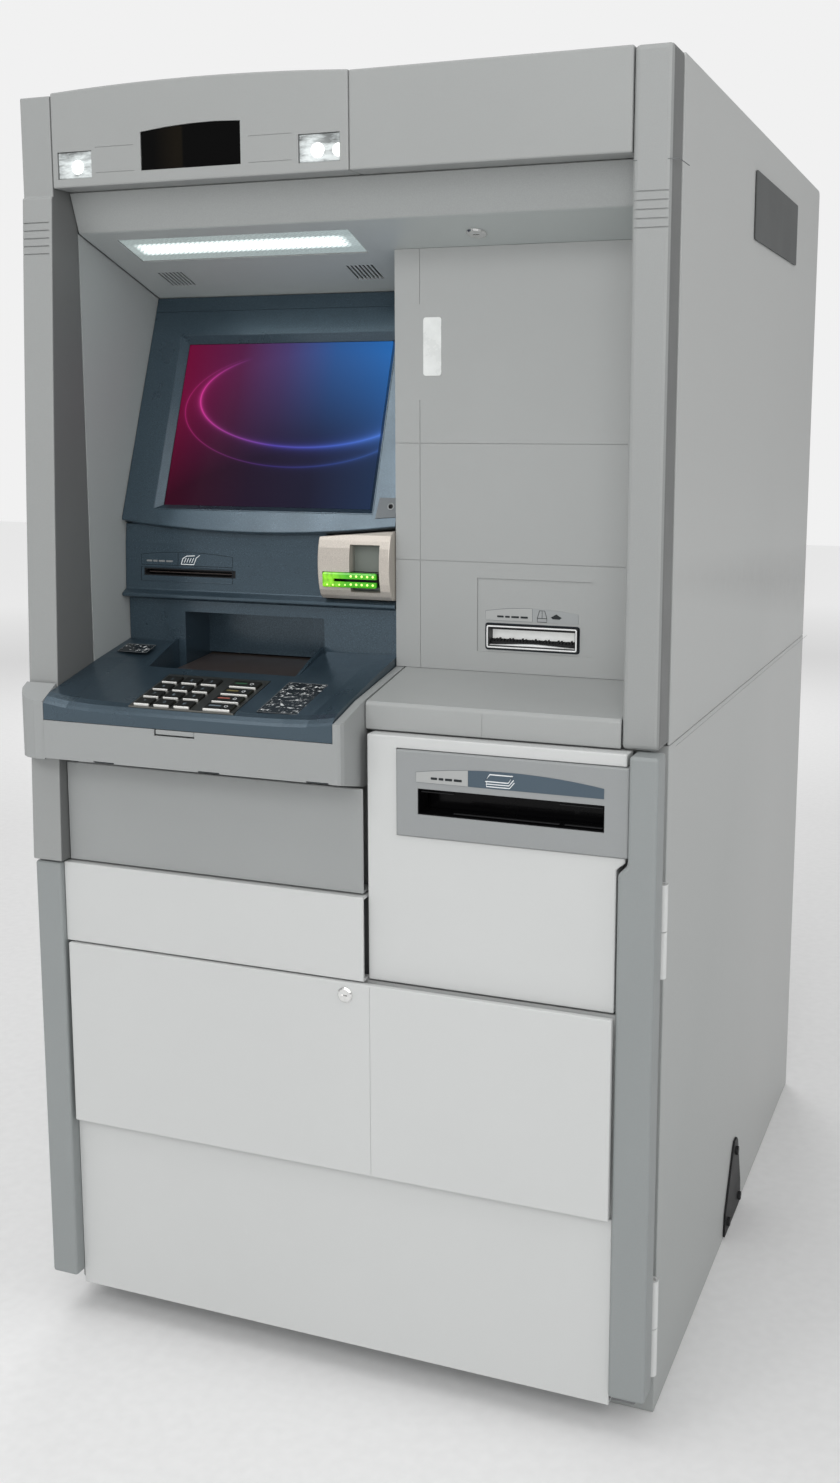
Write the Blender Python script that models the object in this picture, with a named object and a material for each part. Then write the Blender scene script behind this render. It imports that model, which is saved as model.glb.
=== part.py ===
"""Through-the-lobby cash machine: a steel cabinet on a safe, a swinging fascia and a safe door.

Metres, +Z up. X runs across the machine, and the front faces -Y. Depths called d are measured
back from the plane of the upper fascia, which stands at y = FASCIA_Y. The origin is on the
floor, under the middle of the machine.
"""
import math

import bmesh
import bpy
from mathutils import Matrix, Vector

# ---- driving dimensions ---------------------------------------------------------------
HALF_WIDTH = 0.410          # cabinet and safe, half of their width
HEIGHT = 1.600              # top of the cabinet
REAR_D = 1.069              # back of the cabinet, behind the fascia plane
TRAY_D = -0.065             # front of the console tray, the foremost piece
FASCIA_Y = -(REAR_D + TRAY_D) / 2
BODY_D = 0.051              # front edge of the cabinet and of the safe
SAFE_TOP = 0.8417
CABINET_BOTTOM = 0.8423
GAP = 0.0005                # clearance between neighbouring pieces
SEAM = 0.0006               # visible joint between two covers

SAFE_WALL = 0.012
SHEET = 0.0025              # cabinet sheet metal
SHELL = 0.003               # moulded covers

FASCIA_BACK = 0.0495
PILLAR_INNER = 0.3665
HEADER_BOTTOM = 1.491
CAP_SEAM = 1.482
PILLAR_BOTTOM = 0.6460
HEADER_SPLIT = 0.0350

RECESS_LEFT = -0.3660       # inner face of the recess wall
RECESS_RIGHT = 0.0372       # right end of the customer recess
PANEL_D = 0.122             # face of the recessed utility panel
SOFFIT_FRONT = (0.049, 1.443)
SOFFIT_SLOPE = -0.356
SCREEN_TILT = math.atan(0.36)
SCREEN_CENTRE = (-0.1575, 0.1780, 1.2065)   # x, d, z of the middle of the glass
SCREEN_SIZE = (0.304, 0.228)

DECK_SLOPE = math.atan(0.26)
DECK_FRONT = (-0.0650, 0.8600)  # d, z of the keypad plane at the console's front
BAND_D = 0.135
KEYPAD = {"x": (-0.2455, -0.0985), "d": (-0.0560, 0.0405)}
KEY_PITCH_X = 0.0283
KEY_PITCH_V = 0.0224
KEY_DEPTH = 0.0182
KEY_LABELS = (("key_1", "key_2", "key_3", "key_enter"),
              ("key_4", "key_5", "key_6", "key_clear"),
              ("key_7", "key_8", "key_9", "key_cancel"),
              ("key_star", "key_0", "key_hash", "key_help"))
POCKET_X = (-0.2890, -0.0740)   # cash pocket in the console
MOUTH_X = (-0.2780, -0.0700)    # its continuation through the card band

DOOR_HINGE = (0.4100, 0.0300)   # x, d of the safe door's vertical axis
FASCIA_HINGE = (-0.4085, 0.0485)
KNUCKLE_RADIUS = 0.0075
PIN_RADIUS = 0.0036
BORE_RADIUS = 0.0041
HINGES = {"upper": (0.571, 0.684), "lower": (0.066, 0.190)}

FLAP_Z = (0.2875, 0.5350)
FLAP_D = -0.0310
LOCK_SPOT = (0.0340, 0.5190)    # x, z of the access flap's lock


# ---- materials ------------------------------------------------------------------------
def material(name, colour, roughness, metallic=0.0, glow=0.0):
    """Make one Principled material."""
    made = bpy.data.materials.new(name)
    made.use_nodes = True
    shader = made.node_tree.nodes["Principled BSDF"]
    shader.inputs["Base Color"].default_value = (*colour, 1.0)
    shader.inputs["Roughness"].default_value = roughness
    shader.inputs["Metallic"].default_value = metallic
    if glow:
        shader.inputs["Emission Color"].default_value = (*colour, 1.0)
        shader.inputs["Emission Strength"].default_value = glow
    return made


def make_materials():
    """All finishes, by name."""
    return {
        "cabinet": material("cabinet_paint", (0.46, 0.47, 0.46), 0.38),
        "fascia": material("fascia_plastic", (0.40, 0.41, 0.405), 0.5),
        "pillar": material("pillar_plastic", (0.30, 0.325, 0.33), 0.5),
        "white": material("white_panel_paint", (0.68, 0.69, 0.68), 0.4),
        "blue": material("console_blue", (0.055, 0.095, 0.13), 0.35, 0.4),
        "silver": material("reader_silver", (0.52, 0.48, 0.43), 0.35, 0.5),
        "steel": material("brushed_steel", (0.55, 0.55, 0.54), 0.3, 1.0),
        "chrome": material("chrome", (0.8, 0.8, 0.8), 0.12, 1.0),
        "dark": material("dark_plastic", (0.02, 0.02, 0.02), 0.35),
        "shutter": material("shutter_brown", (0.06, 0.045, 0.04), 0.4),
        "safe": material("safe_paint", (0.30, 0.31, 0.31), 0.55),
        "glass": material("display_glass", (0.02, 0.02, 0.05), 0.08),
        "lens": material("light_lens", (0.85, 0.9, 0.88), 0.3, 0.0, 1.5),
        "green": material("guide_green", (0.25, 0.8, 0.05), 0.25, 0.0, 1.0),
        "module": material("module_metal", (0.36, 0.37, 0.38), 0.45, 0.7),
    }


MATERIALS = {}


# ---- building helpers -----------------------------------------------------------------
def clear_scene():
    """Take away whatever the file opened with."""
    for thing in list(bpy.data.objects):
        bpy.data.objects.remove(thing, do_unlink=True)


def place(name, shape, finish, smooth_angle=40.0):
    """Turn a bmesh into a named object with its finish."""
    bmesh.ops.recalc_face_normals(shape, faces=shape.faces)
    mesh = bpy.data.meshes.new(name)
    shape.to_mesh(mesh)
    shape.free()
    mesh.materials.append(MATERIALS[finish])
    mesh.shade_smooth()
    mesh.set_sharp_from_angle(angle=math.radians(smooth_angle))
    thing = bpy.data.objects.new(name, mesh)
    bpy.context.scene.collection.objects.link(thing)
    return thing


def y_of(d):
    """World Y of a depth behind the fascia plane."""
    return FASCIA_Y + d


def prism(outline, along, start, end):
    """Extrude a closed outline. along is the axis that start and end lie on.

    The outline holds (d, z) pairs along X, (x, z) pairs along Y and (x, d) pairs along Z.
    """
    shape = bmesh.new()

    def point(pair, reach):
        if along == "X":
            return Vector((reach, y_of(pair[0]), pair[1]))
        if along == "Y":
            return Vector((pair[0], y_of(reach), pair[1]))
        return Vector((pair[0], y_of(pair[1]), reach))

    first = [shape.verts.new(point(pair, start)) for pair in outline]
    last = [shape.verts.new(point(pair, end)) for pair in outline]
    shape.faces.new(first)
    shape.faces.new(list(reversed(last)))
    for i in range(len(outline)):
        j = (i + 1) % len(outline)
        shape.faces.new((first[i], last[i], last[j], first[j]))
    return shape


def box_mesh(x, d, z):
    """A box between two X, two depths and two heights."""
    return prism([(x[0], z[0]), (x[1], z[0]), (x[1], z[1]), (x[0], z[1])], "Y", d[0], d[1])


def soften(thing, width, segments=2, angle=35.0):
    """Round the edges of a piece with a Bevel."""
    bevel = thing.modifiers.new("edges", "BEVEL")
    bevel.width = width
    bevel.segments = segments
    bevel.limit_method = "ANGLE"
    bevel.angle_limit = math.radians(angle)
    bevel.use_clamp_overlap = True
    bevel.harden_normals = False
    return thing


def block(name, finish, x, d, z, rounding=0.0, segments=2):
    """A box piece."""
    thing = place(name, box_mesh(x, d, z), finish)
    return soften(thing, rounding, segments) if rounding else thing


def profile_x(name, finish, outline, x, rounding=0.0, segments=2, angle=35.0):
    """A piece of one (d, z) section, extruded along X."""
    thing = place(name, prism(outline, "X", x[0], x[1]), finish)
    return soften(thing, rounding, segments, angle) if rounding else thing


def cutter(shape):
    """A hidden tool for a Boolean."""
    tool = place("tool", shape, "dark")
    tool.hide_render = True
    tool.display_type = "WIRE"
    return tool


def carve(thing, *tools, operation="DIFFERENCE"):
    """Cut each tool out of a piece, or join it on."""
    for tool in tools:
        step = thing.modifiers.new("carve", "BOOLEAN")
        step.operation = operation
        step.solver = "EXACT"
        step.object = tool
    return thing


def carve_boxes(thing, boxes):
    """Cut many separate boxes out of a piece with one tool."""
    shape = bmesh.new()
    for x, d, z in boxes:
        part = box_mesh(x, d, z)
        mesh = bpy.data.meshes.new("part")
        bmesh.ops.recalc_face_normals(part, faces=part.faces)
        part.to_mesh(mesh)
        part.free()
        shape.from_mesh(mesh)
        bpy.data.meshes.remove(mesh)
    return carve(thing, cutter(shape))


def rod(radius, low, high, x, d, sides=24, axis="Z"):
    """A cylinder along Z, or along Y with low and high as depths and d as its height."""
    shape = bmesh.new()
    bmesh.ops.create_cone(shape, cap_ends=True, segments=sides, radius1=radius, radius2=radius,
                          depth=high - low)
    if axis == "Z":
        move = Matrix.Translation((x, y_of(d), (low + high) / 2))
    else:
        move = Matrix.Translation((x, y_of((low + high) / 2), d)) @ Matrix.Rotation(
            math.radians(90), 4, "X")
    bmesh.ops.transform(shape, matrix=move, verts=shape.verts)
    return shape


def frame_at(thing, origin, tilt):
    """Stand a piece built in its own flat frame on a slope about X."""
    thing.location = (origin[0], y_of(origin[1]), origin[2])
    thing.rotation_euler = (tilt, 0.0, 0.0)
    return thing


def flat_box(x, v, w):
    """A box in a sloping piece's own frame: x across, v up the slope, w out of it."""
    shape = bmesh.new()
    bmesh.ops.create_cube(shape, size=1.0)
    size = (x[1] - x[0], v[1] - v[0], w[1] - w[0])
    middle = ((x[0] + x[1]) / 2, (v[0] + v[1]) / 2, (w[0] + w[1]) / 2)
    bmesh.ops.scale(shape, vec=size, verts=shape.verts)
    bmesh.ops.translate(shape, vec=middle, verts=shape.verts)
    return shape


def merge(*shapes):
    """Put several shapes into one bmesh, for a tool made of separate bodies."""
    whole = bmesh.new()
    for part in shapes:
        mesh = bpy.data.meshes.new("part")
        bmesh.ops.recalc_face_normals(part, faces=part.faces)
        part.to_mesh(mesh)
        part.free()
        whole.from_mesh(mesh)
        bpy.data.meshes.remove(mesh)
    return whole


# ---- cabinet and safe -----------------------------------------------------------------
def knuckle(z0, z1, name):
    """One half of a lift-off hinge, with its bore."""
    tube = cutter(rod(KNUCKLE_RADIUS, z0, z1, *DOOR_HINGE))
    tube.name = name
    return tube


def make_safe_body():
    """The armoured box with a stepped mouth, and the fixed hinge halves on its right edge."""
    safe = block("safe_body", "cabinet", (-HALF_WIDTH, HALF_WIDTH), (BODY_D, REAR_D),
                 (0.0, SAFE_TOP), 0.0012)
    inside = HALF_WIDTH - SAFE_WALL
    cavity = box_mesh((-inside, inside), (BODY_D + 0.012, REAR_D - 0.020),
                      (0.014, SAFE_TOP - SAFE_WALL))
    mouth = box_mesh((-0.385, 0.385), (BODY_D - 0.01, BODY_D + 0.014), (0.040, 0.628))
    step = box_mesh((0.075, 0.385), (BODY_D - 0.01, BODY_D + 0.014), (0.620, 0.815))
    throat = box_mesh((-0.30, 0.0), (0.24, 0.34), (SAFE_TOP - 0.02, SAFE_TOP + 0.02))
    carve(safe, cutter(cavity), cutter(mouth), cutter(step), cutter(throat))
    cable_hole = rod(0.0200, REAR_D - 0.03, REAR_D + 0.01, 0.300, 0.760, 24, "Y")
    carve(safe, cutter(cable_hole))
    carve_boxes(safe, groove_frame((-0.340, 0.340), (0.060, 0.700), 0.0030, 0.0015))
    for low, high in HINGES.values():
        middle = (low + high) / 2
        leaf = box_mesh((DOOR_HINGE[0] - 0.0062, DOOR_HINGE[0] - 0.0004),
                        (DOOR_HINGE[1], BODY_D + 0.004), (low, middle - GAP))
        barrel = rod(KNUCKLE_RADIUS, low, middle - GAP, *DOOR_HINGE)
        carve(safe, cutter(leaf), cutter(barrel), operation="UNION")
        carve(safe, cutter(rod(BORE_RADIUS, low - 0.01, middle + 0.01, *DOOR_HINGE)))
    return safe


def make_hinge_pins():
    """A pin through both halves of each safe hinge."""
    for label, (low, high) in HINGES.items():
        place(f"hinge_pin_{label}",
              rod(PIN_RADIUS, low + 0.0005, high - 0.0015, *DOOR_HINGE), "steel")


def make_cabinet_shell():
    """The top hat: a sheet metal cover with three columns of vent slots in each side."""
    radius = 0.010
    section = [(BODY_D, HEIGHT), (BODY_D, CABINET_BOTTOM), (REAR_D, CABINET_BOTTOM)]
    section += [(REAR_D - radius + radius * math.cos(math.radians(turn)),
                 HEIGHT - radius + radius * math.sin(math.radians(turn)))
                for turn in (0, 22.5, 45, 67.5, 90)]
    shell = profile_x("cabinet_shell", "cabinet", section, (-HALF_WIDTH, HALF_WIDTH), 0.0012,
                      2, 50.0)
    inside = HALF_WIDTH - SHEET
    carve(shell, cutter(box_mesh((-inside, inside), (BODY_D - 0.01, REAR_D - SHEET),
                                 (CABINET_BOTTOM - 0.01, HEIGHT - SHEET))))
    slots = []
    for side in (-1, 1):
        wall = sorted((side * (inside - 0.004), side * (HALF_WIDTH + 0.004)))
        for column in range(3):
            start = 0.482 + 0.127 * column
            for row in range(15):
                low = 1.4600 + 0.0053 * row
                slots.append((wall, (start, start + 0.078), (low, low + 0.0024)))
    for column in range(8):
        left = -0.30 + 0.075 * column
        for row in range(5):
            low = 1.42 + 0.022 * row
            slots.append(((left, left + 0.050), (REAR_D - 0.01, REAR_D + 0.01),
                          (low, low + 0.006)))
    carve_boxes(shell, slots)
    carve_boxes(shell, groove_frame((-0.370, 0.370), (0.880, 1.375)))
    return carve(shell, cutter(screw_holes(((-0.350, 0.350), (0.900, 1.355)))))


def groove_frame(x, z, width=0.0016, depth=0.0010):
    """Boxes that cut the shallow outline of a service cover into the rear face."""
    reach = (REAR_D - depth, REAR_D + 0.01)
    return [((x[0], x[1]), reach, (z[0], z[0] + width)),
            ((x[0], x[1]), reach, (z[1] - width, z[1])),
            ((x[0], x[0] + width), reach, (z[0] + width * 2, z[1] - width * 2)),
            ((x[1] - width, x[1]), reach, (z[0] + width * 2, z[1] - width * 2))]


def screw_holes(corners, depth=0.0014):
    """Shallow round pockets of the fasteners at a rear cover's corners."""
    xs, zs = corners
    spots = [(x, z) for x in (xs[0], (xs[0] + xs[1]) / 2, xs[1]) for z in zs]
    return merge(*[rod(0.0050, REAR_D - depth, REAR_D + 0.01, x, z, 12, "Y")
                   for x, z in spots])


def make_anchor_brackets():
    """A tapered black plate with three bolt heads, low on each side of the safe."""
    outline = [(0.478, 0.006), (0.600, 0.006), (0.596, 0.040), (0.565, 0.122), (0.556, 0.130),
               (0.540, 0.130), (0.532, 0.122), (0.482, 0.040)]
    bolts = [(0.549, 0.112), (0.497, 0.022), (0.581, 0.022)]
    for label, side in (("right", 1), ("left", -1)):
        inner = side * (HALF_WIDTH + GAP)
        outer = side * (HALF_WIDTH + 0.0035)
        plate = place(f"anchor_bracket_{label}",
                      prism(outline, "X", *sorted((inner, outer))), "dark")
        for d, z in bolts:
            head = bmesh.new()
            bmesh.ops.create_cone(head, cap_ends=True, segments=6, radius1=0.0065,
                                  radius2=0.0065, depth=0.006)
            turn = Matrix.Translation((side * (HALF_WIDTH + 0.0045), y_of(d), z)) @ \
                Matrix.Rotation(math.radians(90), 4, "Y")
            bmesh.ops.transform(head, matrix=turn, verts=head.verts)
            carve(plate, cutter(head), operation="UNION")


def make_internals():
    """What the cabinet and the safe hold: computer, dispenser and its cassettes."""
    block("computer_core", "module", (-0.34, 0.02), (0.50, 0.90), (CABINET_BOTTOM + GAP, 1.06),
          0.003)
    frame = block("cash_dispenser", "module", (-0.26, 0.02), (0.16, 0.80), (0.0145, 0.80))
    bays = [((-0.252, 0.012), (0.10, 0.72), (low, low + 0.135)) for low in (0.05, 0.20)]
    bays.append(((-0.252, 0.012), (0.10, 0.70), (0.36, 0.50)))
    carve_boxes(frame, bays)
    for number, low in enumerate((0.05, 0.20), start=1):
        cassette = block(f"cash_cassette_{number}", "dark", (-0.2510, 0.0110), (0.150, 0.715),
                         (low + GAP, low + 0.118), 0.002)
        carve_boxes(cassette, [((-0.18, -0.06), (0.14, 0.175), (low + 0.05, low + 0.085))])


# ---- fascia ---------------------------------------------------------------------------
def arch_top(x):
    """Height of the header's gently arched top edge."""
    return 1.608 - 0.151 * (x + 0.185) ** 2


def hollow(thing, x, d, z):
    """Open the back of a moulded cover."""
    return carve(thing, cutter(box_mesh(x, d, z)))


def make_header():
    """Two header covers: the left one arched, with lamp windows and the sensor window."""
    left = -PILLAR_INNER + SEAM
    right = HEADER_SPLIT - SEAM / 2
    steps = 10
    top = [(left + (right - left) * i / steps, arch_top(left + (right - left) * i / steps))
           for i in range(steps + 1)]
    outline = [(right, HEADER_BOTTOM), (left, HEADER_BOTTOM)] + top
    cover = place("header_left_panel", prism(outline, "Y", 0.0, FASCIA_BACK), "fascia")
    soften(cover, 0.002, 2, 50.0)
    hollow(cover, (left + SHELL, right - SHELL), (SHELL, 0.06), (HEADER_BOTTOM + SHELL, 1.596))
    windows = [((-0.358, -0.309), (-0.01, 0.02), (1.501, 1.533)),
               ((-0.029, 0.024), (-0.01, 0.02), (1.502, 1.534))]
    carve_boxes(cover, windows)
    carve_boxes(cover, [(x, (-0.01, 0.0006), (z, z + 0.0007))
                        for x in ((-0.3030, -0.2495), (-0.0935, -0.0375))
                        for z in (1.5060, 1.5356)])
    sensor = [(-0.2395, 1.5055), (-0.104, 1.5055), (-0.104, 1.5545), (-0.138, 1.5560),
              (-0.172, 1.5555), (-0.206, 1.5535), (-0.2395, 1.5500)]
    carve(cover, cutter(prism(sensor, "Y", -0.01, 0.02)))
    cover = block("header_right_panel", "fascia",
                  (HEADER_SPLIT + SEAM / 2, PILLAR_INNER - SEAM), (0.0, FASCIA_BACK),
                  (HEADER_BOTTOM, HEIGHT), 0.002)
    hollow(cover, (HEADER_SPLIT + SHELL, PILLAR_INNER - SEAM - SHELL), (SHELL, 0.06),
           (HEADER_BOTTOM + SHELL, HEIGHT - SHELL))


def make_header_inserts():
    """The two lamp units and the dark sensor window that fill the header's openings."""
    for label, x in (("left", (-0.358, -0.309)), ("right", (-0.029, 0.024))):
        low = 1.501 if label == "left" else 1.502
        lamp = block(f"lamp_{label}", "lens", (x[0] + GAP, x[1] - GAP), (0.0015, 0.022),
                     (low + GAP, low + 0.032 - GAP), 0.0008, 1)
        bulb_x = x[0] + (0.028 if label == "left" else 0.024)
        carve(lamp, cutter(rod(0.0085, -0.01, 0.010, bulb_x, low + 0.0135, 16, "Y")))
    inset = GAP
    outline = [(-0.2395 + inset, 1.5055 + inset), (-0.104 - inset, 1.5055 + inset),
               (-0.104 - inset, 1.5545 - inset), (-0.138, 1.5560 - inset),
               (-0.172, 1.5555 - inset), (-0.206, 1.5535 - inset), (-0.2395 + inset, 1.5500 - inset)]
    place("sensor_window", prism(outline, "Y", 0.0012, 0.018), "dark")


def swell(z):
    """How far the left pillar stands forward of the fascia plane at a height."""
    drop = min(max((1.480 - z) / 0.760, 0.0), 1.1)
    return -0.003 - 0.0435 * drop + 0.0105 * drop * drop


def make_pillars():
    """The corner pillars. The left one swells forward on its way down past the safe."""
    rows = (PILLAR_BOTTOM, 0.70, 0.766, 0.84, 0.93, 1.02, 1.11, 1.20, 1.29, 1.38, 1.4805)
    section = [(0.0080, PILLAR_BOTTOM)]
    section += [(swell(z), z) for z in rows]
    section += [(0.0, CAP_SEAM), (0.0, HEIGHT), (FASCIA_BACK, HEIGHT), (FASCIA_BACK, 0.8445),
                (0.0080, 0.8445)]
    left = profile_x("left_pillar", "fascia", section, (-HALF_WIDTH, -PILLAR_INNER), 0.004, 3,
                     50.0)
    right = block("right_pillar", "fascia", (PILLAR_INNER, HALF_WIDTH), (0.0, FASCIA_BACK),
                  (0.8445, HEIGHT), 0.006, 3)
    for step in range(5):
        low = 1.4122 + 0.0094 * step
        front = swell(low)
        carve_boxes(left, [((-HALF_WIDTH - 0.01, -0.3710), (front - 0.02, front + 0.0016),
                            (low, low + 0.0016))])
        carve_boxes(right, [((0.3695, HALF_WIDTH + 0.01), (-0.02, 0.0012),
                             (low, low + 0.0016))])
    seam = (CAP_SEAM, CAP_SEAM + 0.0008)
    carve_boxes(right, [((0.36, 0.42), (-0.01, 0.0012), seam),
                        ((HALF_WIDTH - 0.0012, 0.42), (-0.01, 0.06), seam)])


def soffit_z(d):
    """Height of the sloping soffit at a depth."""
    return SOFFIT_FRONT[1] + SOFFIT_SLOPE * (d - SOFFIT_FRONT[0])


def make_canopy():
    """The set-back lintel and the soffit behind it, with lens opening, speakers and lock hole."""
    d0, z0 = SOFFIT_FRONT
    back = 0.2460
    section = [(0.0320, HEADER_BOTTOM - SEAM), (d0, z0), (back, soffit_z(back)),
               (back, soffit_z(back) + SHELL), (d0 + 0.0035, z0 + 0.0035),
               (0.0365, HEADER_BOTTOM - SEAM)]
    canopy = profile_x("canopy_soffit", "fascia", section, (RECESS_LEFT + GAP, 0.3655), 0.0012, 1)
    holes = [((-0.323, 0.0), (0.070, 0.128), (1.38, 1.46))]
    for start in (-0.321, -0.0455):
        for slot in range(7):
            left = start + 0.0056 * slot
            holes.append(((left, left + 0.0030), (0.159, 0.197), (1.37, 1.43)))
    carve_boxes(canopy, holes)
    carve(canopy, cutter(rod(0.0105, 1.38, 1.47, 0.156, 0.091)))
    lens = [(0.0705, soffit_z(0.0705) + 0.0008), (0.1275, soffit_z(0.1275) + 0.0008),
            (0.1275, soffit_z(0.1275) + 0.012), (0.0705, soffit_z(0.0705) + 0.012)]
    profile_x("light_lens", "lens", lens, (-0.3225, -0.0005), 0.001, 1)


def make_recess():
    """The recess wall on the left, and the utility panel with its two returns."""
    back = 0.262
    top = [(0.0500, soffit_z(0.0500) - GAP), (0.2455, soffit_z(0.2455) - GAP), (back, 1.366)]
    section = [(0.0500, 0.8450), (back, 0.8450)] + list(reversed(top))
    profile_x("recess_side_wall", "fascia", section,
              (RECESS_LEFT - SHELL, RECESS_LEFT - 0.0002))
    lip = PILLAR_INNER - 0.0015
    outline = [(RECESS_RIGHT + GAP, back), (RECESS_RIGHT + GAP, PANEL_D), (lip - SHELL, PANEL_D),
               (lip - SHELL, 0.0520), (lip, 0.0520), (lip, PANEL_D + SHELL),
               (RECESS_RIGHT + GAP + SHELL, PANEL_D + SHELL), (RECESS_RIGHT + GAP + SHELL, back)]
    panel = place("utility_panel", prism(outline, "Z", 0.86, 1.46), "fascia")
    above = [(0.0, soffit_z(0.0) - GAP), (0.30, soffit_z(0.30) - GAP), (0.30, 1.6), (0.0, 1.6)]
    below = [(0.0, ledge_z(0.0) + GAP), (PANEL_D, ledge_z(PANEL_D) + GAP),
             (0.30, ledge_z(PANEL_D) + GAP), (0.30, 0.8), (0.0, 0.8)]
    carve(panel, cutter(prism(above, "X", -0.1, 0.5)), cutter(prism(below, "X", -0.1, 0.5)))
    front = (PANEL_D - 0.01, PANEL_D + 0.0009)
    seams = [((0.0, 0.355), front, (z, z + 0.0009)) for z in (1.0385, 1.1830)]
    carve_boxes(panel, seams)
    carve_boxes(panel, [((0.0705, 0.0714), front, (z0, z1))
                        for z0, z1 in ((0.88, 1.236), (1.351, 1.45))])
    carve_boxes(panel, [((0.147, 0.295), (PANEL_D - 0.01, PANEL_D + 0.0015), (0.9280, 1.0195))])
    carve_boxes(panel, [((0.1590, 0.2780), (PANEL_D - 0.01, PANEL_D + 0.01), (0.9325, 0.9630))])


def ledge_z(d):
    """Height of the sloping ledge at a depth."""
    return 0.8790 + 0.0236 * (d - 0.004) / (PANEL_D - 0.004)


def make_ledge():
    """The parcel ledge under the utility panel."""
    section = [(0.0, 0.8450), (0.0, 0.8755), (0.0035, ledge_z(0.0035)),
               (PANEL_D + 0.02, ledge_z(PANEL_D) - GAP), (PANEL_D + 0.02, 0.8990),
               (0.006, 0.8755), (0.004, 0.8450)]
    section[3] = (PANEL_D, ledge_z(PANEL_D))
    section.insert(4, (PANEL_D + 0.02, ledge_z(PANEL_D)))
    ledge = profile_x("ledge", "fascia", section, (0.0495, PILLAR_INNER - SEAM), 0.0030, 3)
    carve_boxes(ledge, [((0.1988, 0.1995), (-0.01, 0.0006), (0.80, 0.8725))])


def sloped_plate(outline, low, high):
    """Extrude an (x, v) outline between two levels of a sloping piece's own frame."""
    shape = bmesh.new()
    front = [shape.verts.new((x, v, high)) for x, v in outline]
    back = [shape.verts.new((x, v, low)) for x, v in outline]
    shape.faces.new(front)
    shape.faces.new(list(reversed(back)))
    for i in range(len(outline)):
        j = (i + 1) % len(outline)
        shape.faces.new((front[i], back[i], back[j], front[j]))
    return shape


def make_screen():
    """The sloping display bezel with its arched lower edge, and the display module."""
    width, height = SCREEN_SIZE
    low, end, high = -0.1516, -0.1388, 0.1786
    left = RECESS_LEFT + GAP - SCREEN_CENTRE[0]
    right = RECESS_RIGHT - GAP - SCREEN_CENTRE[0]
    steps = 10
    outline = []
    for i in range(steps + 1):
        side = 2.0 * i / steps - 1.0
        outline.append((left + (right - left) * i / steps, low + (end - low) * side * side))
    outline += [(right, high), (left, high)]
    bezel = place("screen_bezel", sloped_plate(outline, -0.0010, 0.0095), "blue")
    lean = math.radians(90) - SCREEN_TILT
    frame_at(bezel, SCREEN_CENTRE, lean)
    soften(bezel, 0.0015, 2)
    window = cutter(flat_box((-width / 2, width / 2), (-height / 2, height / 2), (-0.05, 0.05)))
    flare = cutter(funnel(width, height, 0.0080, 0.0002, 0.0097))
    carve(bezel, frame_at(window, SCREEN_CENTRE, lean), frame_at(flare, SCREEN_CENTRE, lean))
    line = cutter(flat_box((-0.30, 0.30), (0.1572, 0.1580), (0.0086, 0.02)))
    carve(bezel, frame_at(line, SCREEN_CENTRE, lean))
    screen = place("display_module", flat_box((-0.166, 0.166), (-0.128, 0.128),
                                              (-0.0400, -0.0015)), "glass")
    frame_at(screen, SCREEN_CENTRE, lean)


def funnel(width, height, spread, low, high):
    """A frustum that flares outwards, for the bezel's inner chamfer."""
    shape = bmesh.new()
    rings = []
    for level, grow in ((low, 0.0), (high, spread)):
        half_x, half_v = width / 2 + grow, height / 2 + grow
        rings.append([shape.verts.new((x, v, level)) for x, v in (
            (-half_x, -half_v), (half_x, -half_v), (half_x, half_v), (-half_x, half_v))])
    shape.faces.new(list(reversed(rings[0])))
    shape.faces.new(rings[1])
    for i in range(4):
        j = (i + 1) % 4
        shape.faces.new((rings[0][i], rings[0][j], rings[1][j], rings[1][i]))
    return shape


def make_card_band():
    """The band under the display: slot on the left, ridge, and the cash mouth below."""
    section = [(0.1330, 1.0740), (0.1300, 1.0480), (0.1275, 0.9860), (0.1180, 0.9805),
               (0.1180, 0.9760), (BAND_D, 0.9730), (BAND_D, 0.8700), (0.2150, 0.8700),
               (0.2150, 0.9990), (0.1550, 0.9990), (0.1550, 1.0740)]
    band = profile_x("card_band", "blue", section, (RECESS_LEFT + GAP, RECESS_RIGHT - GAP),
                     0.0012, 2)
    carve_boxes(band, [((-0.3360, -0.1960), (0.10, 0.1500), (1.0050, 1.0150)),
                       ((-0.0635, 0.06), (0.10, 0.16), (0.9845, 1.09)),
                       (MOUTH_X, (0.10, 0.1970), (0.86, 0.9570))])
    slot = [(d, floor_z(d) + lift) for d, lift in ((0.190, -0.0060), (0.240, -0.0060),
                                                   (0.240, 0.0025), (0.190, 0.0025))]
    carve(band, cutter(prism(slot, "X", MOUTH_X[0] + 0.0002, POCKET_X[1] - 0.0002)))


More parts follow.
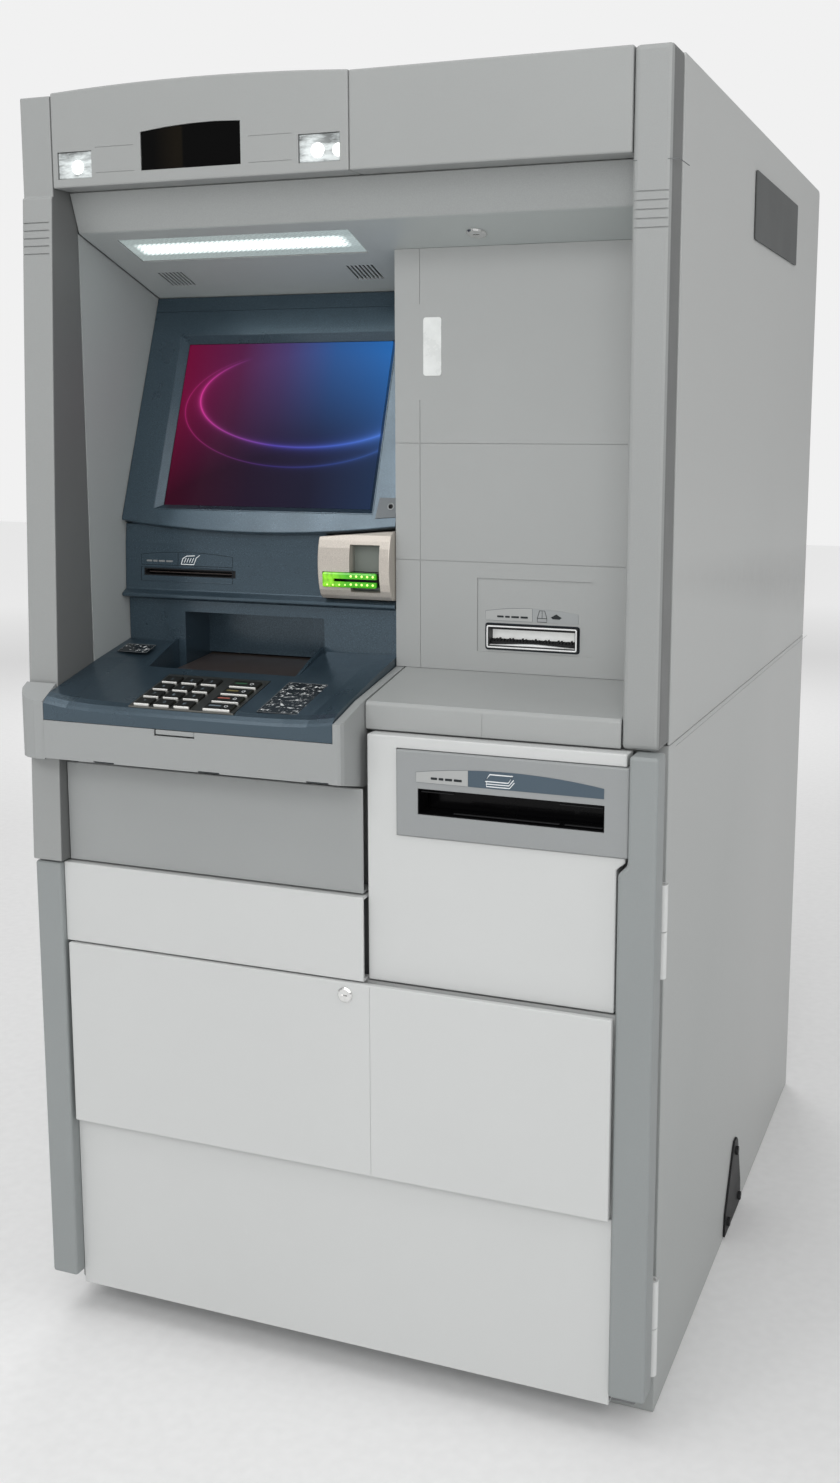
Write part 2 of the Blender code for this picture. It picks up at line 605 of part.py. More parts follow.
def make_card_reader():
    """The bulging card reader mouth and the light guide around its slot."""
    steps = 12
    section = []
    for i in range(steps + 1):
        turn = math.pi * i / steps
        section.append((0.1260 - 0.0240 * math.sin(turn) ** 0.6,
                        1.0300 + 0.0445 * math.cos(turn)))
    section += [(0.1540, 0.9855), (0.1540, 1.0745)]
    reader = profile_x("card_reader_bezel", "silver", section, (-0.0625, RECESS_RIGHT - GAP),
                       0.0012, 2, 50.0)
    throat = [(0.0900, 1.0600), (0.0900, 0.9920), (0.1170, 0.9990), (0.1200, 1.0540)]
    crown = [(-0.0700, 1.0646), (0.0400, 1.0742), (0.0400, 1.0900), (-0.0700, 1.0900)]
    carve(reader, cutter(prism(throat, "X", -0.0180, 0.0230)), cutter(prism(crown, "Y", 0.0, 0.2)))
    carve_boxes(reader, [((-0.0560, 0.0200), (0.09, 0.1250), (1.0020, 1.0220))])
    guide = place("card_guide_light",
                  box_mesh((-0.0555, 0.0195), (0.1000, 0.1240), (1.0025, 1.0215)), "green")
    soften(guide, 0.0025, 2)
    carve_boxes(guide, [((-0.0400, 0.03), (0.09, 0.1200), (1.0100, 1.0138))])


# ---- console --------------------------------------------------------------------------
def deck_z(d):
    """Height of the keypad plane at a depth."""
    return DECK_FRONT[1] + math.tan(DECK_SLOPE) * (d - DECK_FRONT[0])


def floor_z(d):
    """Height of the plate at the bottom of the cash pocket at a depth."""
    return 0.8915 + 0.10 * (d - 0.190)


def console_z(x, d):
    """Height of the console's top: level in the middle, lifted at the sides and the rear."""
    middle = (RECESS_LEFT + RECESS_RIGHT) / 2
    side = abs(x - middle) / ((RECESS_RIGHT - RECESS_LEFT) / 2)
    rear = max(0.0, d - 0.060) / (BAND_D - 0.060)
    front = max(0.0, -0.048 - d) / 0.016
    return deck_z(d) + 0.007 * side ** 6 * (1.0 - 0.6 * rear) \
        + 0.002 * rear - 0.0075 * front ** 2


def make_console():
    """The console deck with its keypad seat and the cash pocket."""
    shape = bmesh.new()
    span = RECESS_RIGHT - RECESS_LEFT - 2 * GAP
    across = [RECESS_LEFT + GAP + span * i / 12 for i in range(13)]
    depths = (-0.0640, -0.0610, -0.0560, -0.0480, 0.010, 0.060, 0.080, 0.100, 0.120, 0.1340)
    top = [[shape.verts.new((x, y_of(d), console_z(x, d))) for x in across] for d in depths]
    low = [[shape.verts.new((x, y_of(d), z)) for x in across]
           for d, z in ((-0.0640, 0.8385), (0.1340, 0.8470))]
    for i in range(len(across) - 1):
        for row in range(len(depths) - 1):
            shape.faces.new((top[row][i], top[row][i + 1], top[row + 1][i + 1],
                             top[row + 1][i]))
        shape.faces.new((low[0][i], low[0][i + 1], top[0][i + 1], top[0][i]))
        shape.faces.new((low[1][i + 1], low[1][i], top[-1][i], top[-1][i + 1]))
        shape.faces.new((low[1][i], low[1][i + 1], low[0][i + 1], low[0][i]))
    for i in (0, len(across) - 1):
        side = [low[0][i]] + [row[i] for row in top] + [low[1][i]]
        shape.faces.new(side if i else list(reversed(side)))
    deck = place("console_deck", shape, "blue", 30.0)
    seat = cutter(flat_box((-0.0740, 0.0740), (-0.0497, 0.0497), (-0.0070, 0.05)))
    frame_at(seat, keypad_centre(), DECK_SLOPE)
    pocket = [(0.0590, 0.9600), (0.0590, floor_z(0.0590) - 0.0060),
              (0.1500, floor_z(0.1500) - 0.0060), (0.1500, 0.9600)]
    carve(deck, seat, cutter(prism(pocket, "X", *POCKET_X)))
    rise = [(0.0620, -0.0030), (0.1335, -0.0030), (0.1335, 0.0080), (0.1150, 0.0070),
            (0.0950, 0.0050), (0.0780, 0.0026), (0.0620, 0.0)]
    cheek = [(d, deck_z(d) + lift) for d, lift in rise]
    for x in ((POCKET_X[0] - 0.0040, POCKET_X[0]), (POCKET_X[1], POCKET_X[1] + 0.0040)):
        carve(deck, cutter(prism(cheek, "X", *x)), operation="UNION")


def keypad_centre():
    """Middle of the keypad, on the deck plane."""
    x = (KEYPAD["x"][0] + KEYPAD["x"][1]) / 2
    d = (KEYPAD["d"][0] + KEYPAD["d"][1]) / 2
    return (x, d, deck_z(d))


def key_spots():
    """Name, centre across, centre up the slope and width of each key, in the keypad's frame."""
    spots = []
    for row, labels in enumerate(KEY_LABELS):
        up = 0.0295 - row * KEY_PITCH_V
        for column in range(3):
            spots.append((labels[column], -0.0565 + column * KEY_PITCH_X, up, 0.0225))
        spots.append((labels[3], 0.0485, up, 0.0380))
    return spots


def make_keypad():
    """The metal key frame and sixteen sprung keys."""
    frame = place("keypad_frame", flat_box((-0.0735, 0.0735), (-0.0492, 0.0492),
                                           (-0.0065, 0.0006)), "steel")
    middle = keypad_centre()
    frame_at(frame, middle, DECK_SLOPE)
    deep = KEY_DEPTH / 2
    holes = []
    for name, across, up, width in key_spots():
        half = width / 2
        key = place(name, flat_box((-half, half), (-deep, deep), (-0.0012, 0.0034)), "steel")
        spot = Matrix.Rotation(DECK_SLOPE, 4, "X") @ Vector((across, up, 0.0))
        frame_at(key, (middle[0] + spot.x, middle[1] + spot.y, middle[2] + spot.z), DECK_SLOPE)
        soften(key, 0.0008, 1)
        holes.append(flat_box((across - half - GAP, across + half + GAP),
                              (up - deep - GAP, up + deep + GAP), (-0.0045, 0.02)))
    carve(frame, frame_at(cutter(merge(*holes)), middle, DECK_SLOPE))


def make_cash_shutter():
    """The sliding plate at the bottom of the cash pocket."""
    section = [(d, floor_z(d) + lift) for d, lift in ((0.0640, -0.0030), (0.2050, -0.0030),
                                                      (0.2050, 0.0), (0.0640, 0.0))]
    profile_x("cash_shutter", "shutter", section, (MOUTH_X[0] + 0.0015, POCKET_X[1] - 0.0015))


def make_tray():
    """The grey surround of the console: apron, right arm and the left arm round the pillar."""
    apron = [(TRAY_D, 0.7890), (TRAY_D, 0.8378), (TRAY_D + SHELL, 0.8378),
             (TRAY_D + SHELL, 0.7930), (-0.0030, 0.7785), (-0.0030, 0.7745)]
    tray = profile_x("console_tray", "fascia", apron, (RECESS_LEFT + GAP, 0.0400))
    side = [(TRAY_D, 0.7890), (TRAY_D, 0.8610), (-0.0020, 0.8790),
            (PANEL_D - GAP, ledge_z(PANEL_D)), (PANEL_D - GAP, 0.8700), (0.0080, 0.8480),
            (0.0080, 0.7745), (-0.0030, 0.7745)]
    right = prism(side, "X", RECESS_RIGHT + 0.0004, 0.0485)
    plan = [(-0.3662, -0.0640), (-0.3800, -0.0640), (-0.3950, -0.0605), (-0.4050, -0.0530),
            (-0.4100, -0.0450), (-0.4100, -0.0353), (-0.3662, -0.0353)]
    left = prism(plan, "Z", 0.7870, 0.8900)
    link = box_mesh((-0.3700, -0.3600), (-0.0632, -0.0400), (0.7888, 0.8374))
    carve(tray, cutter(right), cutter(left), cutter(link), operation="UNION")
    bevelled = [(0.0400, -0.0670), (0.0500, -0.0670), (0.0500, -0.0550), (0.0485, -0.0560),
                (0.0465, -0.0620), (0.0440, -0.0642)]
    slope = [(-0.0800, 0.8520), (0.0, 0.9016), (0.0, 0.9300), (-0.0800, 0.9300)]
    carve(tray, cutter(prism(bevelled, "Z", 0.75, 0.90)),
          cutter(prism(slope, "X", -0.4200, -0.3658)))
    soften(tray, 0.0014, 2)
    marks = [((x, x + 0.030), (-0.07, -0.0555), (0.780, 0.7908)) for x in (-0.2930, -0.1440, 0.0020)]
    notch = ((-0.2040, -0.1475), (-0.07, -0.0570), (0.8300, 0.8400))
    carve_boxes(tray, marks + [notch])


def make_skirt():
    """The plain panel under the console."""
    section = [(-0.0200, 0.6455), (-0.0200, 0.7755), (-0.0170, 0.7755), (-0.0170, 0.6485),
               (0.0100, 0.6485), (0.0100, 0.6455)]
    profile_x("skirt_panel", "fascia", section, (RECESS_LEFT + GAP, 0.0545), 0.0010, 1)


def make_receipt_printer():
    """The printer behind the utility panel, with its bright paper mouth."""
    body = block("receipt_printer", "chrome", (0.130, 0.310), (PANEL_D + 0.0040, 0.245),
                 (0.9100, 1.0300))
    mouth = cutter(box_mesh((0.1598, 0.2772), (PANEL_D - 0.0015, PANEL_D + 0.010),
                            (0.9333, 0.9622)))
    carve(body, mouth, operation="UNION")
    carve_boxes(body, [((0.1630, 0.2740), (PANEL_D - 0.01, PANEL_D + 0.030), (0.9370, 0.9590))])


def lock_plug_shape(radius):
    """A flanged lock face on a barrel, axis along its own Z, face up."""
    shape = bmesh.new()
    barrel = 0.74 * radius
    profile = [(0.0, -0.0150), (barrel, -0.0150), (barrel, 0.0003), (radius, 0.0003),
               (radius, 0.0012), (0.80 * radius, 0.0026), (0.0, 0.0026)]
    ring = [shape.verts.new((r, 0.0, z)) for r, z in profile]
    edges = [shape.edges.new((ring[i], ring[i + 1])) for i in range(len(ring) - 1)]
    bmesh.ops.spin(shape, geom=ring + edges, cent=(0, 0, 0), axis=(0, 0, 1),
                   angle=2 * math.pi, steps=24, use_merge=True)
    bmesh.ops.remove_doubles(shape, verts=shape.verts, dist=1e-6)
    return shape


def make_lock_plugs():
    """Key-operated plugs: one in the soffit for the fascia, one in the access flap."""
    spots = (("fascia_lock_plug", 0.0125, (0.156, 0.091, soffit_z(0.091)),
              math.radians(180) + math.atan(SOFFIT_SLOPE)),
             ("flap_lock_plug", 0.0098, (LOCK_SPOT[0], FLAP_D, LOCK_SPOT[1]), math.radians(90)))
    for name, radius, spot, turn in spots:
        plug = place(name, lock_plug_shape(radius), "chrome")
        frame_at(plug, spot, turn)
        keyway = cutter(flat_box((-0.0040, 0.0040), (-0.0008, 0.0008), (0.0005, 0.0100)))
        carve(plug, frame_at(keyway, spot, turn))


# ---- safe door ------------------------------------------------------------------------
def make_safe_door():
    """The stepped armoured door with its hinge halves, and the bolt handle on it."""
    outline = [(-0.3960, 0.0300), (0.3960, 0.0300), (0.3960, 0.8330), (0.0620, 0.8330),
               (0.0620, 0.6380), (-0.3960, 0.6380)]
    door = place("safe_door", prism(outline, "Y", 0.0130, 0.0475), "safe")
    soften(door, 0.0020, 1)
    for low, high in HINGES.values():
        middle = (low + high) / 2
        leaf = box_mesh((0.3900, DOOR_HINGE[0]), (DOOR_HINGE[1] - 0.003, DOOR_HINGE[1] + 0.003),
                        (middle + GAP, high))
        barrel = rod(KNUCKLE_RADIUS, middle + GAP, high, *DOOR_HINGE)
        carve(door, cutter(leaf), cutter(barrel), operation="UNION")
        carve(door, cutter(rod(BORE_RADIUS, middle - 0.01, high + 0.01, *DOOR_HINGE)))
    carve_boxes(door, [((0.115, 0.365), (0.0, 0.06), (0.700, 0.800))])
    handle = place("safe_handle", rod(0.013, -0.0060, 0.0125, -0.09, 0.42, 20, "Y"), "chrome")
    lever = box_mesh((-0.094, -0.010), (-0.0140, -0.0050), (0.412, 0.428))
    carve(handle, cutter(lever), operation="UNION")


def make_front_panel():
    """The white cover: kick panel, a recess behind the flap, and the strip above it."""
    kick, behind, strip, back, wall = -0.0180, -0.0105, -0.0270, 0.0115, 0.0030
    section = [(kick, 0.0450), (kick, 0.2840), (behind, 0.2840), (behind, 0.5370),
               (strip, 0.5370), (strip, 0.6430), (back, 0.6430), (back, 0.6400),
               (strip + wall, 0.6400), (strip + wall, 0.5400), (behind + wall, 0.5400),
               (behind + wall, 0.2810), (kick + wall, 0.2810), (kick + wall, 0.0480),
               (back, 0.0480), (back, 0.0450)]
    cover = profile_x("door_front_panel", "white", section, (-0.3705, 0.3710), 0.0006, 1)
    carve_boxes(cover, [((0.0570, 0.40), (-0.05, 0.05), (0.5340, 0.66)),
                        ((-0.30, 0.30), (-0.05, 0.05), (0.315, 0.500))])


def make_right_panel():
    """The white cover beside the skirt, with the opening for the deposit bezel."""
    outline = [(0.0590, 0.5375), (0.3680, 0.5375), (0.3680, 0.7085), (0.3780, 0.7170),
               (0.3780, 0.8430), (0.0590, 0.8430)]
    cover = place("right_front_panel", prism(outline, "Y", -0.0160, 0.0115), "white")
    soften(cover, 0.0016, 2)
    carve_boxes(cover, [((0.0620, 0.3650), (-0.0130, 0.05), (0.5405, 0.8400))])
    carve_boxes(cover, [((0.0970, 0.40), (-0.05, 0.05), (0.7225, 0.8290))])


def make_access_flap():
    """The drop-down flap across the door, with a pressed line and its lock hole."""
    flap = block("access_flap", "white", (-0.3660, 0.3695), (FLAP_D, -0.0225), FLAP_Z, 0.0015)
    carve_boxes(flap, [((-0.3630, 0.3665), (FLAP_D + 0.0025, 0.05),
                        (FLAP_Z[0] + 0.003, FLAP_Z[1] - 0.003)),
                       ((0.0664, 0.0673), (FLAP_D - 0.01, FLAP_D + 0.0006),
                        (FLAP_Z[0] - 0.01, FLAP_Z[1] + 0.01))])
    carve(flap, cutter(rod(0.0078, -0.05, 0.0, *LOCK_SPOT, 24, "Y")))


def make_door_pillars():
    """The lower pillars. The right one steps outwards beside the deposit bezel."""
    block("lower_left_pillar", "pillar", (-HALF_WIDTH, -0.3710), (-0.0350, 0.0115),
          (0.0620, 0.6430), 0.004, 3)
    outline = [(0.3715, 0.0600), (0.4160, 0.0600), (0.4160, 0.8430), (0.3825, 0.8430),
               (0.3825, 0.7165), (0.3715, 0.7055)]
    right = place("lower_right_pillar", prism(outline, "Y", -0.0250, 0.0115), "pillar")
    soften(right, 0.004, 3)


def make_deposit():
    """The deposit bezel in the right cover, and the shutter behind its mouth."""
    bezel = block("deposit_bezel", "fascia", (0.0980, 0.3820), (-0.0200, 0.0115),
                  (0.7235, 0.8280), 0.0020, 2)
    carve_boxes(bezel, [((0.1260, 0.3540), (-0.05, 0.05), (0.7515, 0.7830))])
    block("deposit_shutter", "dark", (0.1220, 0.3580), (0.0145, 0.0175), (0.7475, 0.7870))


def main():
    """Build the whole machine."""
    clear_scene()
    MATERIALS.update(make_materials())
    make_safe_body()
    make_hinge_pins()
    make_cabinet_shell()
    make_anchor_brackets()
    make_internals()
    make_header()
    make_header_inserts()
    make_pillars()
    make_canopy()
    make_recess()
    make_ledge()
    make_screen()
    make_card_band()
    make_card_reader()
    make_console()
    make_keypad()
    make_cash_shutter()
    make_tray()
    make_skirt()
    make_receipt_printer()
    make_lock_plugs()
    make_safe_door()
    make_front_panel()
    make_right_panel()
    make_access_flap()
    make_door_pillars()
    make_deposit()


main()
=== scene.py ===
"""Looks for the cash machine: finishes on the CAD nodes, and the small visible detail."""
import math

import bmesh
import bpy
from mathutils import Matrix, Vector


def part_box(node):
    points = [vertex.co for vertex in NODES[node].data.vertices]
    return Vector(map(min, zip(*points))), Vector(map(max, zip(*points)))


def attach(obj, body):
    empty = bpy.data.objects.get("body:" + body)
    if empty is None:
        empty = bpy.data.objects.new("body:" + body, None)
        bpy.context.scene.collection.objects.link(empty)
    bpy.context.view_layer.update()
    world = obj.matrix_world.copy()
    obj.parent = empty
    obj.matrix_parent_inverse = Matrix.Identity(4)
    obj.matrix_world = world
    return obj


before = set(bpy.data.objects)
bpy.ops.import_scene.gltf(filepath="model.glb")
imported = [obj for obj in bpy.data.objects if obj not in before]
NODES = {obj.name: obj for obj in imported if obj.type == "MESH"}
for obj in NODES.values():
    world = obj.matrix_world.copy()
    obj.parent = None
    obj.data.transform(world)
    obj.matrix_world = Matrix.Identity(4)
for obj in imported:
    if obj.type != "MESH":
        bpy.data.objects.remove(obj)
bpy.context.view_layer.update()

# Places are given as x, d and z, where d is the depth behind the fascia's front plane.
FASCIA_Y = -0.502  # world Y of that plane
SCREEN_TILT = math.atan(0.36)  # how far the display leans back
SCREEN_CENTRE = (-0.1575, 0.178, 1.2065)  # x, d, z of the middle of the glass
DECK_RISE = 0.26  # rise of the console deck per metre of depth
DECK_EDGE = (-0.065, 0.86)  # d, z of the deck's front edge
SOFFIT_RISE = -0.356  # rise of the soffit per metre of depth
SOFFIT_EDGE = (0.049, 1.443)  # d, z of the soffit's front edge
BAND_FOOT = (0.1275, 0.986)  # d, z of the card band's lower edge
BAND_TOP = (0.13, 1.048)  # d, z of its upper edge
DOOR_PIVOT = (0.41, 0.03)  # x, d of the safe door's hinge pins
DEPOSIT_FACE = -0.02  # d of the deposit bezel's front
PANEL_FACE = 0.122  # d of the utility panel's front
CAP_SEAM = (1.482, 1.4828)  # lower and upper z of the pillars' cap seam
SIDE_SEAM = (0.84172, 0.84228)  # lower and upper z of the joint over the safe
NUMERAL_LIFT = 0.00352  # height of a digit over the deck plane
SIGN_LIFT = 0.00345  # height of a function key's sign over it
EDGE_ANGLE = math.radians(35)  # corners sharper than this stay creased
UPRIGHT = math.radians(90)
HINGE_GREY = (0.64, 0.65, 0.645)

# The solved camera: focal length and optical centre in pixels of the picture.
PICTURE = (840.0, 1483.0)
FOCAL = 1503.631
OPTICAL_CENTRE = (472.488, 670.075)
SENSOR = 36.0
CAMERA_ANGLES = (20.686, -9.116, -0.182)  # azimuth, pitch and roll in degrees
CAMERA_SPOT = (0.7958, -2.114, 1.2012)


def world_y(d):
    """World Y of a depth behind the upper fascia's front plane."""
    return FASCIA_Y + d


# ---- node helpers ----
class Shader:
    """A material being built, with short ways to add and join nodes."""

    def __init__(self, name):
        self.material = bpy.data.materials.new(name)
        self.material.use_nodes = True
        self.tree = self.material.node_tree
        self.out = self.tree.nodes["Principled BSDF"]
        self.coords = self.node("TexCoord")
        self.bumps = None

    def socket(self, value, target):
        """Give a socket a plain value, or link it to another node's output."""
        if isinstance(value, (int, float, tuple)):
            target.default_value = value
        else:
            self.tree.links.new(value, target)

    def set(self, node=None, **values):
        """Set inputs by name, on the surface shader or on another node."""
        for key, value in values.items():
            self.socket(value, (node or self.out).inputs[key.replace("_", " ")])

    def node(self, kind, **values):
        """A new node of a kind, with inputs set by name."""
        node = self.tree.nodes.new(f"ShaderNode{kind}")
        self.set(node, **values)
        return node

    def math(self, kind, a, b=0.0, c=0.0):
        node = self.node("Math")
        node.operation = kind
        for value, target in zip((a, b, c), node.inputs):
            self.socket(value, target)
        return node.outputs[0]

    def times(self, a, b):
        return self.math("MULTIPLY", a, b)

    def length(self, run, rise):
        """The length of a flat vector."""
        return self.math("SQRT", self.math("ADD", self.times(run, run), self.times(rise, rise)))

    def noise(self, scale, detail=3.0, rough=0.5, stretch=None):
        """Noise in the object's own space, finer with a higher scale."""
        vector = self.coords.outputs["Object"]
        if stretch:
            vector = self.node("Mapping", Vector=vector, Scale=stretch).outputs[0]
        return self.node("TexNoise", Vector=vector, Scale=scale, Detail=detail,
                         Roughness=rough).outputs["Fac"]

    def xyz(self, source="Object"):
        """The three coordinates of a point of the surface."""
        node = self.node("SeparateXYZ", Vector=self.coords.outputs[source])
        return tuple(node.outputs)

    def facing(self, axis):
        """How far the surface looks along one of the object's own axes, from -1 to 1."""
        return self.xyz("Normal")[axis]

    def ramp(self, value, stops):
        """A colour from a value, through (place, colour) stops."""
        node = self.node("ValToRGB", Fac=value)
        ramp = node.color_ramp
        while len(ramp.elements) < len(stops):
            ramp.elements.new(0.5)
        for element, (spot, colour) in zip(ramp.elements, stops):
            element.position = spot
            element.color = (*colour, 1.0)
        return node.outputs[0]

    def span(self, value, low, high, a=0.0, b=1.0):
        """A value between low and high, turned into one between a and b."""
        return self.node("MapRange", Value=value, From_Min=low, From_Max=high, To_Min=a,
                         To_Max=b).outputs[0]

    def mix(self, factor, a, b, kind="MIX"):
        """Two colours mixed by a factor."""
        node = self.node("Mix")
        node.data_type = "RGBA"
        node.blend_type = kind
        self.socket(factor, node.inputs[0])
        for value, target in ((a, node.inputs[6]), (b, node.inputs[7])):
            if isinstance(value, tuple) and len(value) == 3:
                value = (*value, 1.0)
            self.socket(value, target)
        return node.outputs[2]

    def bump(self, height, strength, distance):
        """Relief on top of any relief already there."""
        node = self.node("Bump", Strength=strength, Distance=distance, Height=height)
        if self.bumps:
            self.set(node, Normal=self.bumps)
        self.bumps = node.outputs[0]
        self.set(Normal=self.bumps)


def shade(colour, amount):
    """A colour made lighter or darker."""
    return tuple(min(1.0, channel * amount) for channel in colour)


def moulded(name, colour, rough=0.5, grain=900.0, relief=0.00012, gloss=0.5):
    """Textured plastic: fine orange peel, slight cloudiness and uneven gloss."""
    s = Shader(name)
    cloud = s.noise(3.0, 4.0, 0.6)
    fine = s.noise(grain, 2.0, 0.5)
    base = s.ramp(cloud, ((0.3, shade(colour, 0.975)), (0.7, shade(colour, 1.02))))
    speck = s.ramp(fine, ((0.25, (0.93, 0.93, 0.93)), (0.75, (1.0, 1.0, 1.0))))
    s.set(Base_Color=s.mix(0.6, base, speck, "MULTIPLY"))
    s.set(Roughness=s.span(s.noise(14.0), 0.3, 0.7, rough - 0.05, rough + 0.06))
    s.bump(fine, 0.35, relief)
    s.set(Specular_IOR_Level=gloss)
    return s.material


def pillar_moulding(name, colour):
    """The fascia's moulding with its return edge, on the flank, in a darker grey that is painted
    shade.
    """
    s = Shader(name)
    fine = s.noise(900.0, 2.0, 0.5)
    speck = s.ramp(fine, ((0.25, shade(colour, 0.95)), (0.75, shade(colour, 1.01))))
    # painted shade: faces that look along +X, the pillar's flank, take a darker grey of the same
    # moulding
    flank = s.span(s.facing(0), 0.55, 0.95)
    s.set(Base_Color=s.mix(flank, speck, shade(colour, 0.47)))
    s.set(Roughness=s.span(s.noise(14.0), 0.3, 0.7, 0.45, 0.56))
    s.bump(fine, 0.35, 0.00012)
    return s.material


def canopy_moulding():
    """The canopy: a grey lintel in front, and under it a glossier soffit in a lighter, cooler grey
    that is painted light from the work light's lens.
    """
    s = Shader("canopy_moulding")
    colour = (0.316, 0.33, 0.327)
    fine = s.noise(700.0, 2.0, 0.5)
    speck = s.ramp(fine, ((0.25, shade(colour, 0.92)), (0.75, shade(colour, 1.03))))
    # painted light: faces that look down, the soffit, take a lighter grey standing in for the work
    # light shining on them
    under = s.span(s.facing(2), -0.9, -0.6, 1.0, 0.0)
    s.set(Base_Color=s.mix(under, speck, (0.43, 0.462, 0.456)))
    s.set(Roughness=s.span(s.noise(14.0), 0.3, 0.7, 0.36, 0.46))
    s.bump(fine, 0.5, 0.0002)
    return s.material


def key_cap():
    """A key cap: dark satin top, and a bright rim where it falls away that is a painted highlight.
    """
    s = Shader("key_cap_steel")
    grain = s.noise(160.0, 4.0, 0.6, (40.0, 1.0, 1.0))
    top = s.ramp(grain, ((0.25, (0.04, 0.039, 0.034)), (0.75, (0.06, 0.058, 0.052))))
    # painted highlight: faces that look forward are drawn pale and less metallic
    front = s.span(s.facing(1), -0.9, -0.6, 1.0, 0.0)
    s.set(Base_Color=s.mix(front, top, (0.8, 0.8, 0.77)))
    s.set(Metallic=s.span(front, 0.0, 1.0, 0.75, 0.25))
    s.set(Roughness=s.span(grain, 0.25, 0.75, 0.26, 0.4))
    s.bump(grain, 0.12, 0.00006)
    return s.material


def reader_lacquer():
    """Warm silver lacquer of the card reader, with a grey-green throat."""
    s = Shader("reader_lacquer")
    x, y, z = s.xyz()
    flake = s.noise(1500.0, 2.0, 0.6)
    colour = (0.56, 0.515, 0.46)
    base = s.ramp(flake, ((0.3, shade(colour, 0.8)), (0.72, shade(colour, 1.2))))
    deep = s.span(y, world_y(0.111), world_y(0.115))
    wide = s.times(s.span(x, -0.0186, -0.0178), s.span(x, 0.0226, 0.0234, 1.0, 0.0))
    tall = s.times(s.span(z, 0.99, 0.993), s.span(z, 1.059, 1.061, 1.0, 0.0))
    throat = s.times(deep, s.times(wide, tall))
    s.set(Base_Color=s.mix(throat, base, (0.165, 0.185, 0.165)))
    s.set(Metallic=s.span(throat, 0.0, 1.0, 0.4, 0.0))
    s.set(Roughness=s.span(s.noise(24.0, 3.0), 0.3, 0.7, 0.3, 0.4))
    s.bump(s.noise(700.0, 2.0), 0.3, 0.00012)
    return s.material


def lamp_reflector(name, bulb_x, bulb_z):
    """A mirrored lamp housing: streaky, with painted light glowing on it around its bulb."""
    s = Shader(name)
    x, _, z = s.xyz()
    streak = s.noise(46.0, 3.0, 0.6, (1.0, 1.0, 3.2))
    high = s.span(z, bulb_z + 0.004, bulb_z + 0.016, 0.0, 0.16)
    value = s.math("SUBTRACT", streak, high)
    base = s.ramp(value, ((0.26, (0.17, 0.18, 0.18)), (0.4, (0.42, 0.45, 0.45)),
                          (0.56, (0.66, 0.7, 0.7))))
    # painted light: the housing glows more the nearer it is to the bulb
    away = s.length(s.math("SUBTRACT", x, bulb_x), s.math("SUBTRACT", z, bulb_z))
    s.set(Base_Color=base, Roughness=0.16, Emission_Color=(0.94, 1.0, 1.0, 1.0))
    s.set(Emission_Strength=s.span(away, 0.0085, 0.024, 0.16, 0.0))
    return s.material


def painted(name, colour, rough, grain, relief, wave):
    """Powder-coated sheet: fine orange peel over a slow waviness of the panel."""
    s = Shader(name)
    peel = s.noise(grain, 2.0, 0.45)
    cloud = s.noise(2.2, 3.0, 0.55)
    base = s.ramp(cloud, ((0.3, shade(colour, 0.985)), (0.7, shade(colour, 1.015))))
    s.set(Base_Color=base)
    s.set(Roughness=s.span(s.noise(60.0, 4.0), 0.3, 0.7, rough - 0.05, rough + 0.05))
    s.bump(s.noise(5.0, 1.0), 0.25, wave)
    s.bump(peel, 0.3, relief)
    return s.material


def metallic_paint(name, colour):
    """Dark metallic lacquer with a fine sparkle."""
    s = Shader(name)
    flake = s.noise(1500.0, 2.0, 0.6)
    cloud = s.noise(4.0, 2.0, 0.5)
    base = s.ramp(flake, ((0.3, shade(colour, 0.66)), (0.6, shade(colour, 1.1)),
                          (0.72, shade(colour, 2.1))))
    tone = s.ramp(cloud, ((0.3, (0.95, 0.95, 0.95)), (0.7, (1.0, 1.0, 1.0))))
    s.set(Base_Color=s.mix(1.0, base, tone, "MULTIPLY"), Metallic=0.6)
    s.set(Roughness=s.span(s.noise(24.0, 3.0), 0.3, 0.7, 0.26, 0.36))
    s.bump(s.noise(700.0, 2.0), 0.3, 0.00012)
    s.set(Coat_Weight=0.5, Coat_Roughness=0.16)
    return s.material


def bare_metal(name, colour, rough=0.3, stretch=(1.0, 40.0, 40.0), lines=90.0):
    """Brushed or plated metal with fine lines."""
    s = Shader(name)
    grain = s.noise(lines, 4.0, 0.6, stretch)
    s.set(Base_Color=s.ramp(grain, ((0.25, shade(colour, 0.86)), (0.75, shade(colour, 1.08)))))
    s.set(Roughness=s.span(grain, 0.25, 0.75, rough - 0.06, rough + 0.1), Metallic=1.0)
    s.bump(grain, 0.15, 0.00008)
    return s.material


def safe_paint():
    """The door's dark primer, with its hinge halves in the cabinet's light grey."""
    s = Shader("safe_primer")
    x, y, _ = s.xyz()
    grain = s.noise(300.0, 3.0, 0.6)
    primer = s.ramp(grain, ((0.3, (0.162, 0.167, 0.171)), (0.7, (0.178, 0.183, 0.189))))
    hinge = s.times(s.span(x, 0.398, 0.399), s.span(y, world_y(0.0395), world_y(0.04), 1.0, 0.0))
    s.set(Base_Color=s.mix(hinge, primer, HINGE_GREY))
    s.set(Roughness=s.span(s.noise(4.0), 0.3, 0.7, 0.5, 0.58))
    s.bump(grain, 0.35, 0.00014)
    return s.material


